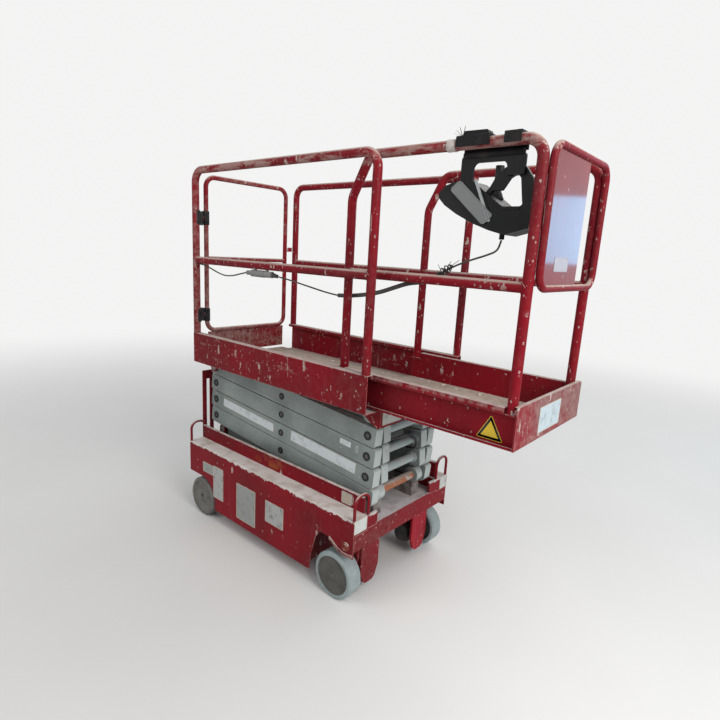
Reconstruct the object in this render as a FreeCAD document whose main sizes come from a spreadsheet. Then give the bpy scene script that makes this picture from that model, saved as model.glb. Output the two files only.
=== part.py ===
import FreeCAD, Part
import Sketcher
import math
import os
from FreeCAD import Rotation, Vector

# Micro scissor lift with a slide-out platform deck.
# X runs forward, Y to the machine's left, Z up, in millimetres.
# The origin is on the floor under the middle of the machine's plan.

doc = FreeCAD.newDocument("ScissorLift")
sheet = doc.addObject("Spreadsheet::Sheet", "Sizes")

# Driving dimensions, each written once: alias and value.
DRIVING = (
    ("overall_width", 760),
    # Clearances
    ("fit_gap", 0.4),
    ("rest_gap", 0.3),
    ("run_gap", 6),
    # Chassis: heights above the floor, and reaches past what they belong to
    ("chassis_end", 67),
    ("skirt_bottom", 75),
    ("skirt_wall", 6),
    ("ledge_height", 433),
    ("ledge_width", 90),
    ("wall_height", 87),
    ("wall_flange", 14),
    ("floor_drop", 63),
    ("floor_plate", 8),
    ("bay_rear_reach", 133),
    ("bay_front_reach", 209),
    ("beam_depth", 50),
    ("beam_drop", 87),
    ("lip_rise", 8),
    ("belly_plate", 6),
    ("end_cap_reach", 73),
    ("battery_length", 520),
    ("battery_height", 240),
    ("battery_width", 150),
    ("loop_height", 120),
    ("loop_span", 108),
    ("loop_bar", 14),
    ("ladder_rise", 650),
    ("ladder_foot", 200),
    ("ladder_stile", 72),
    ("ladder_plate", 8),
    ("ladder_inset", 93),
    ("rung_radius", 12),
    # Wheels and steering
    ("wheel_radius", 115),
    ("wheel_width", 80),
    ("rim_radius", 94),
    ("arch_gap", 18),
    ("front_axle_inset", 120),
    ("rear_axle_inset", 126),
    ("axle_radius", 18),
    ("axle_plate", 8),
    ("wheel_side_gap", 30),
    ("kingpin_inset", 160),
    ("kingpin_radius", 20),
    ("knuckle_clearance", 32),
    ("knuckle_plate", 12),
    ("guard_foot", 42),
    ("guard_offset", 69),
    ("motor_radius", 54),
    ("tie_arm", 80),
    ("tie_radius", 9),
    # Scissor stack
    ("arm_length", 1194),
    ("arm_depth", 94),
    ("arm_width", 50),
    ("arm_corner", 34),
    ("arm_edge", 12),
    ("arm_gap", 10),
    ("level_gap", 6),
    ("base_pin_rise", 114),
    ("stack_side_gap", 44),
    ("pin_radius", 18),
    ("pin_recess", 12),
    ("collar_radius", 30),
    ("cross_radius", 22),
    ("roller_radius", 40),
    ("track_start", 195),
    ("track_end_gap", 54),
    ("hinge_lug", 12),
    ("lug_wall", 11),
    # Lift cylinder
    ("cylinder_offset", 450),
    ("barrel_radius", 42),
    ("barrel_bore", 36),
    ("foot_pin_radius", 24),
    ("rod_radius", 22),
    ("rod_showing", 94),
    ("eye_radius", 34),
    ("eye_width", 56),
    # Platform
    ("deck_over_stack", 11),
    ("deck_plate", 6),
    ("deck_side_gap", 20),
    ("platform_lap", 19),
    ("platform_reach", 87),
    ("sill_drop", 20),
    ("sill_set_in", 6),
    ("sill_wall", 5),
    ("sill_depth", 36),
    ("flange_lap", 21),
    ("toe_height", 150),
    ("rail_radius", 19),
    ("rail_height", 1020),
    ("rail_mid_height", 554),
    ("rail_bend", 62),
    ("rail_rear_inset", 19),
    ("rail_front_inset", 20),
    # Entry gate
    ("gate_tube", 12.7),
    ("gate_bend", 55),
    ("gate_set_back", 3),
    ("gate_standoff", 33),
    ("gate_latch_reach", 67),
    ("gate_top_drop", 21),
    ("gate_mid_rise", 10),
    ("gate_foot_gap", 6),
    ("kick_gap", 18),
    ("kick_plate", 3),
    ("hinge_barrel", 13),
    ("hinge_pin", 6),
    ("hinge_knuckle", 24),
    # Slide-out deck
    ("slide_gap", 31),
    ("slide_overlap", 239),
    ("slide_length", 864),
    ("slide_depth", 150),
    ("slide_lip", 24),
    ("slide_web", 3),
    ("slide_foot_lip", 11),
    ("slide_web_inset", 24),
    ("slide_post_set", 8),
    ("post_foot_plate", 6),
    ("slide_deck_gap", 5),
    ("slide_plate", 5),
    ("fascia_plate", 6),
    ("fascia_lap", 8),
    ("glide_height", 7),
    ("glide_width", 8),
    ("slide_rail_rise", 6),
    ("slide_mid_height", 546),
    ("slide_post_inset", 36),
    ("slide_rear_inset", 27),
    ("guard_tube", 13),
    ("guard_stand", 29),
    ("guard_bend", 58),
    ("guard_plate", 3),
    # Control station
    ("station_inset", 213),
    ("station_drop", 114),
    ("station_depth", 104),
    ("station_gap", 7),
    ("strap_plate", 12),
    ("hook_plate", 6),
    # Wiring
    ("cable_radius", 3.5),
    ("hose_radius", 7),
    ("conduit_radius", 9),
)

# Sizes that follow from the driving ones: alias and sheet formula.
DERIVED = (
    ("half_width", "overall_width / 2"),
    ("inner_wall", "half_width - ledge_width"),
    ("trough", "inner_wall - skirt_wall"),
    ("end_cap_inner", "inner_wall - end_cap_reach"),
    ("half_arm", "arm_length / 2"),
    ("chassis_half", "half_arm + chassis_end"),
    ("wall_top", "ledge_height + wall_height"),
    ("floor_top", "ledge_height - floor_drop"),
    ("floor_bottom", "floor_top - floor_plate"),
    ("beam_bottom", "floor_top - beam_drop"),
    ("front_axle_x", "chassis_half - front_axle_inset"),
    ("rear_axle_x", "rear_axle_inset - chassis_half"),
    ("bay_rear", "rear_axle_x + bay_rear_reach"),
    ("bay_front", "front_axle_x - bay_front_reach"),
    ("axle_plate_y", "half_width - wheel_width - wheel_side_gap - axle_plate"),
    ("kingpin_y", "half_width - kingpin_inset"),
    ("knuckle_top", "wheel_radius * 2 + knuckle_clearance"),
    ("guard_x", "front_axle_x + guard_offset"),
    ("outer_arm_y", "trough - stack_side_gap - arm_width"),
    ("inner_arm_y", "outer_arm_y - arm_gap - arm_width"),
    ("level_step", "arm_depth + level_gap"),
    ("stack_base", "floor_top + base_pin_rise"),
    ("stack_top", "stack_base + level_step * 4"),
    ("pin_run", "sqrt(arm_length * arm_length - level_step * level_step) / 2"),
    ("deck_under", "stack_top + arm_depth / 2 + deck_over_stack"),
    ("deck_top", "deck_under + deck_plate"),
    ("sill_bottom", "deck_top - sill_drop"),
    ("sill_rest", "sill_bottom + sill_wall"),
    ("toe_top", "deck_top + toe_height"),
    ("platform_rear", "0 - half_arm - platform_lap"),
    ("platform_front", "half_arm + platform_reach"),
    ("rail_y", "half_width - rail_radius"),
    ("rail_inner", "rail_y - rail_radius"),
    ("rail_rear_x", "platform_rear + rail_rear_inset"),
    ("rail_front_x", "platform_front - rail_front_inset"),
    ("rail_top", "deck_top + rail_height"),
    ("rail_mid", "deck_top + rail_mid_height"),
    ("slide_half", "rail_inner - slide_gap"),
    ("deck_half", "slide_half - glide_width - deck_side_gap"),
    ("sill_flange", "deck_half - flange_lap"),
    ("gate_x", "rail_rear_x - gate_set_back"),
    ("gate_axis_y", "hinge_barrel - rail_inner"),
    ("gate_near_y", "gate_axis_y + gate_standoff"),
    ("gate_far_y", "rail_inner - gate_latch_reach"),
    ("gate_top", "rail_top - gate_top_drop"),
    ("gate_mid", "rail_mid + gate_mid_rise"),
    ("gate_bottom", "toe_top + gate_foot_gap"),
    ("kick_bottom", "deck_top + kick_gap"),
    ("slide_rear", "platform_front - slide_overlap"),
    ("slide_front", "slide_rear + slide_length"),
    ("slide_bottom", "sill_rest + glide_height"),
    ("slide_top", "slide_bottom + slide_depth"),
    ("slide_web_y", "slide_half - slide_web_inset"),
    ("slide_inner", "slide_web_y - slide_web"),
    ("slide_deck", "deck_top + slide_deck_gap + slide_plate"),
    ("slide_rail_y", "slide_half - slide_post_set - rail_radius"),
    ("slide_post_foot", "slide_top - slide_lip"),
    ("slide_rail_top", "rail_top + slide_rail_rise"),
    ("slide_rail_mid", "slide_deck + slide_mid_height"),
    ("slide_post_rear", "slide_rear + slide_rear_inset"),
    ("slide_post_front", "slide_front - slide_post_inset"),
    ("guard_x_middle", "slide_post_front + guard_stand"),
    ("plan_front", "guard_x_middle + guard_tube"),
    ("plan_rear", "chassis_half + rung_radius * 2"),
    ("plan_centre", "(plan_front - plan_rear) / 2"),
    ("station_x", "slide_post_front - station_inset"),
    ("station_top", "slide_rail_top - station_drop"),
    ("station_y", "slide_rail_y - rail_radius - station_gap"),
)

for row, (alias, value) in enumerate(DRIVING, start=1):
    sheet.set("A%d" % row, alias)
    sheet.set("B%d" % row, str(value))
    sheet.setAlias("B%d" % row, alias)
for row, (alias, formula) in enumerate(DERIVED, start=len(DRIVING) + 1):
    sheet.set("A%d" % row, alias)
    sheet.set("B%d" % row, "=" + formula)
    sheet.setAlias("B%d" % row, alias)
doc.recompute()


class Size:
    """A length or angle known both as a number and as a sheet formula."""

    def __init__(self, text, value):
        self.text = text
        self.value = float(value)

    def joined(self, sign, other, value):
        return Size("(%s %s %s)" % (self.text, sign, other.text), value)

    def __add__(self, other):
        other = size(other)
        return self.joined("+", other, self.value + other.value)

    def __sub__(self, other):
        other = size(other)
        return self.joined("-", other, self.value - other.value)

    def __mul__(self, other):
        other = size(other)
        return self.joined("*", other, self.value * other.value)

    def __truediv__(self, other):
        other = size(other)
        return self.joined("/", other, self.value / other.value)

    def __radd__(self, other):
        return size(other) + self

    def __rsub__(self, other):
        return size(other) - self

    def __rmul__(self, other):
        return size(other) * self

    def __neg__(self):
        return Size("(0 - %s)" % self.text, -self.value)

    def __float__(self):
        return self.value


def size(item):
    """A plain number or a sheet alias as a Size."""
    if isinstance(item, Size):
        return item
    if isinstance(item, str):
        return Size("Sizes." + item, sheet.get(item))
    return Size(repr(float(item)), item)


def root(item):
    return Size("sqrt(%s)" % item.text, math.sqrt(item.value))


def arcsine(item):
    return Size("asin(%s)" % item.text, math.degrees(math.asin(item.value)))


def cosine(item):
    return Size("cos(%s)" % item.text, math.cos(math.radians(item.value)))


def sine(item):
    return Size("sin(%s)" % item.text, math.sin(math.radians(item.value)))


D = {alias: size(alias) for alias, value in DRIVING + DERIVED}
half_width = D["half_width"]
inner_wall = D["inner_wall"]
plan_centre = D["plan_centre"]

NODES = []


def bind(item, name, value):
    item.setExpression(name, size(value).text)


def place(item, x=0, y=0, z=0):
    """Bind the object's position to the sheet."""
    for axis, value in zip("xyz", (x, y, z)):
        bind(item, "Placement.Base." + axis, value)
    return item


def box(name, corner, lengths):
    """A block from its lowest corner and its three lengths."""
    item = doc.addObject("Part::Box", name)
    for prop, value in zip(("Length", "Width", "Height"), lengths):
        bind(item, prop, value)
    return place(item, *corner)


TURNS = {"x": Rotation(Vector(0, 1, 0), 90), "y": Rotation(Vector(1, 0, 0), -90), "z": Rotation()}


def rod(name, axis, start, length, radius):
    """A round bar along one axis from the middle of its first face."""
    item = doc.addObject("Part::Cylinder", name)
    bind(item, "Radius", radius)
    bind(item, "Height", length)
    item.Placement = FreeCAD.Placement(Vector(), TURNS[axis])
    return place(item, *start)


def fuse(name, parts):
    item = doc.addObject("Part::MultiFuse", name)
    item.Shapes = parts
    item.Refine = True
    return item


def cut(name, base, tools):
    item = doc.addObject("Part::Cut", name)
    item.Base = base
    item.Tool = tools[0] if len(tools) == 1 else fuse(name + "_tools", tools)
    item.Refine = True
    return item


def gather(name, parts):
    item = doc.addObject("Part::Compound", name)
    item.Links = parts
    return item


def mirrored(name, source, normal=(0, 1, 0)):
    item = doc.addObject("Part::Mirroring", name)
    item.Source = source
    item.Base = Vector()
    item.Normal = Vector(*normal)
    return item


PLANES = {"XY": "XY_Plane", "XZ": "XZ_Plane", "YZ": "YZ_Plane"}


AXES = {"XY": (0, 1), "XZ": (0, 2), "YZ": (1, 2)}


def edges_at(shape, plane, corner):
    """Names of the straight edges that run through a corner of the outline."""
    names = []
    for index, edge in enumerate(shape.Edges, start=1):
        ends = [vertex.Point for vertex in edge.Vertexes]
        if len(ends) == 2 and all(abs(end[AXES[plane][0]] - corner.x) < 0.01
                                  and abs(end[AXES[plane][1]] - corner.y) < 0.01 for end in ends):
            names.append("Edge%d" % index)
    return names


def outline_pad(name, plane, points, start, thick, rounds=()):
    """A plate: a closed outline drawn on an origin plane and padded.

    XY pads upward, YZ pads forward and XZ pads to the left, from start.
    Each entry of rounds is a radius and the corners that it rounds.
    """
    body = doc.addObject("PartDesign::Body", name)
    sketch = body.newObject("Sketcher::SketchObject", name + "_outline")
    support = [f for f in body.Origin.OriginFeatures if f.Role == PLANES[plane]][0]
    sketch.AttachmentSupport = (support, [""])
    sketch.MapMode = "FlatFace"
    corners = [Vector(size(u).value, size(v).value, 0) for u, v in points]
    count = len(corners)
    for i in range(count):
        sketch.addGeometry(Part.LineSegment(corners[i], corners[(i + 1) % count]), False)
    for i in range(count):
        sketch.addConstraint(Sketcher.Constraint("Coincident", i, 2, (i + 1) % count, 1))
    for i, (u, v) in enumerate(points):
        for kind, value in (("DistanceX", size(u)), ("DistanceY", size(v))):
            index = sketch.addConstraint(Sketcher.Constraint(kind, -1, 1, i, 1, value.value))
            sketch.setExpression("Constraints[%d]" % index, value.text)
    pad = body.newObject("PartDesign::Pad", name + "_pad")
    pad.Profile = sketch
    bind(pad, "Length", thick)
    pad.Reversed = plane == "XZ"
    last = pad
    for number, (radius, which) in enumerate(rounds):
        doc.recompute()
        names = [edge for i in which for edge in edges_at(last.Shape, plane, corners[i])]
        fillet = body.newObject("PartDesign::Fillet", "%s_round_%d" % (name, number))
        fillet.Base = (last, names)
        bind(fillet, "Radius", radius)
        last = fillet
    start = size(start)
    where = {"XY": (0, 0, start), "YZ": (start, 0, 0), "XZ": (0, start, 0)}[plane]
    return place(body, *where)


def revolved(name, points, centre):
    """A turned piece about the Y axis from (radius, y) points."""
    body = doc.addObject("PartDesign::Body", name)
    sketch = body.newObject("Sketcher::SketchObject", name + "_section")
    support = [f for f in body.Origin.OriginFeatures if f.Role == "XY_Plane"][0]
    sketch.AttachmentSupport = (support, [""])
    sketch.MapMode = "FlatFace"
    corners = [Vector(size(r).value, size(y).value, 0) for r, y in points]
    count = len(corners)
    for i in range(count):
        sketch.addGeometry(Part.LineSegment(corners[i], corners[(i + 1) % count]), False)
    for i in range(count):
        sketch.addConstraint(Sketcher.Constraint("Coincident", i, 2, (i + 1) % count, 1))
    for i, (r, y) in enumerate(points):
        for kind, value in (("DistanceX", size(r)), ("DistanceY", size(y))):
            index = sketch.addConstraint(Sketcher.Constraint(kind, -1, 1, i, 1, value.value))
            sketch.setExpression("Constraints[%d]" % index, value.text)
    turned = body.newObject("PartDesign::Revolution", name + "_turned")
    turned.Profile = sketch
    turned.ReferenceAxis = (sketch, ["V_Axis"])
    turned.Angle = 360
    return place(body, *centre)


def filleted_path(points, radii):
    """Straight runs joined by tangent arcs, as one wire."""
    edges = []
    last = points[0]
    for i in range(1, len(points) - 1):
        before = (points[i - 1] - points[i]).normalize()
        after = (points[i + 1] - points[i]).normalize()
        turn = math.pi - before.getAngle(after)
        setback = radii[i - 1] * math.tan(turn / 2)
        first = points[i] + before * setback
        second = points[i] + after * setback
        bisector = (before + after).normalize()
        depth = radii[i - 1] / math.cos(turn / 2) - radii[i - 1]
        middle = points[i] + bisector * depth
        if (first - last).Length > 0.001:
            edges.append(Part.LineSegment(last, first).toShape())
        edges.append(Part.Arc(first, middle, second).toShape())
        last = second
    edges.append(Part.LineSegment(last, points[-1]).toShape())
    return Part.Wire(edges)


def bent_tube(points, radii, radius):
    """A round bar bent along a path of straight runs and arcs."""
    path = filleted_path(points, radii)
    start = points[0]
    heading = (points[1] - points[0]).normalize()
    circle = Part.Wire([Part.Circle(start, heading, radius).toShape()])
    return path.makePipeShell([circle], True, True)


def solid_feature(name, shape):
    """A piece whose shape comes straight from the shape functions."""
    item = doc.addObject("Part::Feature", name)
    item.Shape = shape
    return item


def node(label, item):
    """Name a finished piece and set it from the plan centre."""
    item.Label = label
    place(item, -plan_centre)
    NODES.append(item)
    return item


def twin(label, source):
    """A finished piece again on the machine's other side."""
    item = mirrored(label + "_form", source)
    item.Label = label
    place(item)
    NODES.append(item)
    return item


# Chassis side shells: one bent sheet each, skirt, ledge and upright wall.

ARCH_OUTLINE = (
    # along from the front axle, height above the floor
    (-156, 60), (-146, 160), (-120, 262), (-92, 304), (-24, 304), (22, 268), (68, 252), (130, 252),
    (130, 60),
)


def side_shell():
    wall = D["skirt_wall"]
    low = D["floor_bottom"]
    ledge = D["ledge_height"]
    top = D["wall_top"]
    length = D["chassis_half"] * 2
    flange = inner_wall + D["wall_flange"]
    sheet_form = outline_pad("shell_sheet", "YZ", (
        (-half_width, D["skirt_bottom"]), (-half_width, ledge), (-inner_wall, ledge),
        (-inner_wall, top - wall), (-flange, top - wall), (-flange, top),
        (wall - inner_wall, top), (wall - inner_wall, low), (-inner_wall, low),
        (-inner_wall, ledge - wall), (wall - half_width, ledge - wall),
        (wall - half_width, D["skirt_bottom"])), -D["chassis_half"], length,
        ((wall, (1, 6)),))
    cap = D["loop_bar"]
    trough = D["trough"]
    caps = []
    for end, x in (("front", D["chassis_half"] - cap), ("rear", -D["chassis_half"])):
        caps.append(box("shell_cap_" + end, (x, wall - half_width, low),
                        (cap, half_width - wall - trough, ledge - low)))
        caps.append(box("shell_end_" + end, (x, -trough, D["floor_top"]),
                        (cap, trough - D["end_cap_inner"], ledge - D["floor_top"])))
    reach = D["wheel_radius"] + D["arch_gap"]
    tools = [
        rod("rear_arch_round", "y", (D["rear_axle_x"], -half_width - 1, D["wheel_radius"]),
            D["skirt_wall"] + 2, reach),
        box("rear_arch_tail", (-D["chassis_half"] - 1, -half_width - 1, 0),
            (D["chassis_half"] + 1 + D["rear_axle_x"], D["skirt_wall"] + 2,
             D["wheel_radius"] + reach)),
        outline_pad("front_arch", "XZ", [(D["front_axle_x"] + u, v) for u, v in ARCH_OUTLINE],
                    -half_width - 1, D["skirt_wall"] + 2),
    ]
    for end, x in (("front", D["chassis_half"] - cap - 6), ("rear", -D["chassis_half"] - 1)):
        tools.append(box("wall_end_" + end, (x, -flange - 1, ledge),
                         (cap + 7, D["wall_flange"] + wall + 2, top - ledge + 1)))
    return cut("shell_right", fuse("shell_blank", [sheet_form] + caps), tools)


shell = side_shell()
node("side_shell_right", shell)
twin("side_shell_left", shell)


def frame_plates():
    """Floor, cross beams, wheel bay walls and axle plates of the chassis."""
    wall = D["skirt_wall"]
    inside = half_width - wall
    low = D["floor_bottom"]
    half = D["chassis_half"]
    belly = D["skirt_bottom"] + D["belly_plate"]
    trough = D["trough"]
    end_cap_inner = D["end_cap_inner"]
    axle_plate = D["axle_plate"]
    parts = [
        box("floor_plate", (-half, -trough, low), (half * 2, trough * 2, D["floor_plate"])),
        box("front_beam", (half - D["beam_depth"], -inside, D["beam_bottom"]),
            (D["beam_depth"], inside * 2, low - D["beam_bottom"])),
        box("front_lip", (half - wall, -end_cap_inner, D["floor_top"]),
            (wall, end_cap_inner * 2, D["lip_rise"])),
        box("rear_panel", (-half, -inside, D["wheel_radius"] * 2 + D["arch_gap"]),
            (wall, inside * 2, low - D["wheel_radius"] * 2 - D["arch_gap"])),
        box("rear_upstand", (-half, -end_cap_inner, D["floor_top"]),
            (wall, end_cap_inner * 2, D["ledge_height"] - D["floor_top"])),
        box("belly", (D["bay_rear"], -inside, D["skirt_bottom"]),
            (D["bay_front"] - D["bay_rear"] + wall, inside * 2, D["belly_plate"])),
        box("bay_wall_rear", (D["bay_rear"], -inside, belly), (wall, inside * 2, low - belly)),
        box("bay_wall_front", (D["bay_front"], -inside, belly), (wall, inside * 2, low - belly)),
    ]
    for side, sign in (("right", -1), ("left", 1)):
        plate_y = D["axle_plate_y"] * sign + (0 if sign > 0 else -axle_plate)
        parts.append(box("axle_plate_" + side, (-half + wall, plate_y, D["skirt_bottom"]),
                         (half + D["bay_rear"] - wall, axle_plate, low - D["skirt_bottom"])))
        rib_y = D["kingpin_y"] * sign - axle_plate / 2
        parts.append(box("kingpin_rib_" + side, (D["bay_front"] + wall, rib_y, D["beam_bottom"]),
                         (half - D["beam_depth"] - D["bay_front"] - wall, axle_plate,
                          low - D["beam_bottom"])))
        parts.append(rod("kingpin_boss_" + side, "z",
                         (D["front_axle_x"], D["kingpin_y"] * sign, D["knuckle_top"] + D["rest_gap"]),
                         low - D["knuckle_top"] - D["rest_gap"], D["kingpin_radius"] + 16))
    bores = [rod("kingpin_bore_" + side, "z",
                 (D["front_axle_x"], D["kingpin_y"] * sign, D["knuckle_top"] - 1),
                 low - D["knuckle_top"] - 4, D["kingpin_radius"] + D["fit_gap"])
             for side, sign in (("right", -1), ("left", 1))]
    return cut("frame_steel", fuse("frame_blank", parts), bores)


node("chassis_frame", frame_plates())


def battery_pair():
    base = D["skirt_bottom"] + D["belly_plate"]
    outer = half_width - D["skirt_wall"] - D["run_gap"]
    right = box("battery_right", (-D["battery_length"] / 2, -outer, base),
                (D["battery_length"], D["battery_width"], D["battery_height"]))
    return gather("battery_set", [right, mirrored("battery_left", right)])


node("battery_blocks", battery_pair())


def tie_down_loops():
    bar = D["loop_bar"].value / 2
    outer = half_width.value - bar
    inner = outer - D["loop_span"].value + 2 * bar
    foot = D["ledge_height"].value
    top = foot + D["loop_height"].value - bar
    bend = (outer - inner) / 2 - 6
    x = D["chassis_half"].value - bar - 0.5
    loops = []
    for sx in (1, -1):
        for sy in (1, -1):
            points = [Vector(sx * x, sy * y, z) for y, z in
                      ((outer, foot), (outer, top), (inner, top), (inner, foot))]
            loops.append(bent_tube(points, (bend, bend), bar))
    return solid_feature("tie_downs", Part.makeCompound(loops))


node("tie_down_loops", tie_down_loops())


def ladder():
    """Entry ladder on the rear panel: slotted stiles and round rungs."""
    inner = half_width - D["ladder_inset"] - D["ladder_stile"]
    rise = D["ladder_rise"]
    back = -D["chassis_half"] - D["ladder_plate"]
    stile = box("stile", (back, -inner - D["ladder_stile"], D["ladder_foot"]),
                (D["ladder_plate"], D["ladder_stile"], rise))
    slot = box("stile_slot", (back - 1, -inner - D["ladder_stile"] * 0.66, D["ledge_height"] + 40),
               (D["ladder_plate"] + 2, D["ladder_stile"] / 3, rise / 2))
    right = cut("stile_right", stile, [slot])
    rungs = [rod("rung_%d" % (i + 1), "y",
                 (-D["chassis_half"] - D["rung_radius"], -inner, D["ladder_foot"] + 60 + rise * i / 4),
                 inner * 2, D["rung_radius"]) for i in range(4)]
    return fuse("ladder_steel", [right, mirrored("stile_left", right)] + rungs)


node("ladder", ladder())


def roller_tracks():
    top = D["stack_base"] - D["roller_radius"] - D["rest_gap"]
    width = D["arm_width"] + 8
    length = D["chassis_half"] - D["track_end_gap"] - D["track_start"]
    right = box("track_right", (D["track_start"], -D["inner_arm_y"] - D["arm_width"] - 4,
                                D["floor_top"]), (length, width, top - D["floor_top"]))
    return gather("tracks", [right, mirrored("track_left", right)])


node("roller_tracks", roller_tracks())


def lug(name, x, base, pin_z, y, thick, reach):
    """An upright ear from its base to round a pin at height pin_z."""
    ear = fuse(name + "_ear", [
        box(name + "_leg", (x - reach, y, base), (reach * 2, thick, pin_z - base)),
        rod(name + "_round", "y", (x, y, pin_z), thick, reach)])
    hole = rod(name + "_hole", "y", (x, y - 1, pin_z), thick + 2, D["pin_radius"] + D["fit_gap"])
    return cut(name, ear, [hole])


pin_run = D["pin_run"]


def base_hinge():
    ears = []
    for side, y in (("inner", D["inner_arm_y"] - D["run_gap"] - D["hinge_lug"]),
                    ("outer", D["inner_arm_y"] + D["arm_width"] + D["run_gap"])):
        ears.append(lug("base_lug_" + side, -pin_run, D["floor_top"], D["stack_base"], y,
                        D["hinge_lug"], D["pin_radius"] + D["lug_wall"]))
    left = gather("base_lugs_left", ears)
    return gather("base_lugs", [left, mirrored("base_lugs_right", left)])


node("base_hinge", base_hinge())


# Wheels: a pale solid tyre on a steel disc, four alike.

def wheel(label, x, sign):
    radius = D["wheel_radius"]
    half = D["wheel_width"] / 2
    edge = D["rim_radius"]
    shoulder = Size("8", 8)
    middle = (x - plan_centre, (half_width - half) * sign, radius)
    tyre = revolved(label + "_tyre_form", (
        (edge, -half), (radius - shoulder, -half), (radius, shoulder - half),
        (radius, half - shoulder), (radius - shoulder, half), (edge, half)), (0, 0, 0))
    bore = D["axle_radius"] + D["fit_gap"]
    disc = revolved(label + "_disc_form", (
        (bore, -(half - 12) * sign), (40, -(half - 12) * sign), (46, -(half - 26) * sign),
        (edge - 14, -(half - 26) * sign), (edge, -(half - 3) * sign), (edge, (half - 3) * sign),
        (edge - 8, (half - 5) * sign), (34, (half - 5) * sign), (28, (half - 1) * sign),
        (bore, (half - 1) * sign)), (0, 0, 0))
    for name, item in (("tyre_", tyre), ("rim_", disc)):
        item.Label = name + label
        place(item, *middle)
        NODES.append(item)


for side, sign in (("right", -1), ("left", 1)):
    wheel("front_" + side, D["front_axle_x"], sign)
    wheel("rear_" + side, D["rear_axle_x"], sign)


def rear_axle():
    start = D["axle_plate_y"] + D["axle_plate"]
    left = fuse("rear_stub_left", [
        rod("rear_shaft", "y", (D["rear_axle_x"], start, D["wheel_radius"]),
            half_width - start - 10, D["axle_radius"]),
        rod("rear_flange", "y", (D["rear_axle_x"], start, D["wheel_radius"]), 14, 45)])
    return gather("rear_stubs", [left, mirrored("rear_stub_right", left)])


node("rear_axle", rear_axle())


# Steering knuckle: a folded fork that hangs from its kingpin.

def knuckle():
    x = D["front_axle_x"]
    y = D["kingpin_y"]
    top = D["knuckle_top"]
    plate = D["knuckle_plate"]
    under = top - plate
    guard = D["guard_x"]
    carrier_y = half_width - D["wheel_width"] - plate - 14
    parts = [
        outline_pad("knuckle_top_plate", "XY", (
            (x - D["tie_arm"] - 20, y - 18), (x - 50, y - 80), (guard + plate, y - 80),
            (guard + plate, carrier_y + plate), (x - 66, carrier_y + plate),
            (x - D["tie_arm"] - 20, y + 18)), under, plate),
        rod("kingpin", "z", (x, y, top - 1), D["floor_bottom"] - top - 5,
            D["kingpin_radius"]),
        outline_pad("knuckle_guard", "YZ", (
            (y - 80, top), (y + 50, top), (y + 50, 112), (y + 28, D["guard_foot"] + 14),
            (y + 8, D["guard_foot"]), (y - 38, D["guard_foot"]),
            (y - 58, D["guard_foot"] + 14), (y - 80, 112)), guard, plate),
        outline_pad("knuckle_carrier", "XZ", (
            (x - 66, top), (guard + 2, top), (guard + 2, 196), (x + 44, 72), (x + 18, 52),
            (x - 18, 52), (x - 44, 72), (x - 66, 196)), carrier_y, plate),
        rod("stub_shaft", "y", (x, carrier_y + plate - 1, D["wheel_radius"]),
            half_width - carrier_y - plate - 7, D["axle_radius"]),
        rod("tie_pin", "z", (x - D["tie_arm"], y, under - 30), 31, D["tie_radius"] + 1),
    ]
    return fuse("knuckle_steel", parts)


knuckle_left = knuckle()
node("knuckle_left", knuckle_left)
twin("knuckle_right", knuckle_left)


def drive_motor():
    y = D["kingpin_y"] - 66
    inner = half_width - D["wheel_width"] - D["knuckle_plate"] - 14
    x = D["front_axle_x"]
    z = D["wheel_radius"]
    return fuse("motor_form", [
        rod("motor_can", "y", (x, y + 26, z), inner - y - 26, D["motor_radius"]),
        rod("motor_cap", "y", (x, y, z), 27, D["motor_radius"] - 12)])


motor_left = drive_motor()
node("motor_left", motor_left)
twin("motor_right", motor_left)


def tie_rod():
    x = D["front_axle_x"] - D["tie_arm"]
    eye_top = D["knuckle_top"] - D["knuckle_plate"] - 1
    eye_height = D["tie_radius"] * 2 + 4
    z = eye_top - eye_height / 2
    ends = (("right", -1), ("left", 1))
    parts = [rod("tie_bar", "y", (x, -D["kingpin_y"] + 14, z), D["kingpin_y"] * 2 - 28,
                 D["tie_radius"])]
    parts += [rod("tie_eye_" + side, "z", (x, D["kingpin_y"] * sign, eye_top - eye_height),
                  eye_height, D["tie_radius"] * 2) for side, sign in ends]
    bores = [rod("tie_bore_" + side, "z", (x, D["kingpin_y"] * sign, eye_top - eye_height - 1),
                 eye_height + 2, D["tie_radius"] + 1 + D["fit_gap"]) for side, sign in ends]
    return cut("tie_steel", fuse("tie_blank", parts), bores)


node("tie_rod", tie_rod())


# Scissor stack: four levels, each a pair of outer and a pair of inner arms.

stowed_angle = arcsine(D["level_step"] / D["arm_length"])
half_arm = D["half_arm"]


def arm_side(name, y, bores, recesses, swinging):
    """One rectangular tube, its pin bores cut; a corner that swings past a plate is rounder."""
    depth = D["arm_depth"]
    width = D["arm_width"]
    end = half_arm + depth / 2
    rounds = ((D["arm_edge"], tuple(i for i in range(4) if i not in swinging)),)
    if swinging:
        rounds += ((D["arm_corner"], swinging),)
    tube = outline_pad(name + "_tube", "XZ", (
        (-end, -depth / 2), (end, -depth / 2), (end, depth / 2), (-end, depth / 2)),
        y, width, rounds)
    tools = [rod("%s_bore_%d" % (name, i), "y", (along, y - 1, 0), width + 2,
                 D["pin_radius"] + D["fit_gap"]) for i, along in enumerate(bores)]
    tools += [rod("%s_recess_%d" % (name, i), "y", (along, y + width - D["pin_recess"], 0),
                  D["pin_recess"] + 1, D["pin_radius"]) for i, along in enumerate(recesses)]
    return cut(name, tube, tools) if tools else tube


def cross_shaft(name, along, reach, waist):
    """A shaft across the machine, thicker between the inner arms."""
    inner = D["inner_arm_y"] - 2
    return [rod(name + "_pin", "y", (along, -reach, 0), reach * 2, D["pin_radius"]),
            rod(name + "_tube", "y", (along, -inner, 0), inner * 2, waist)]


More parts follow.
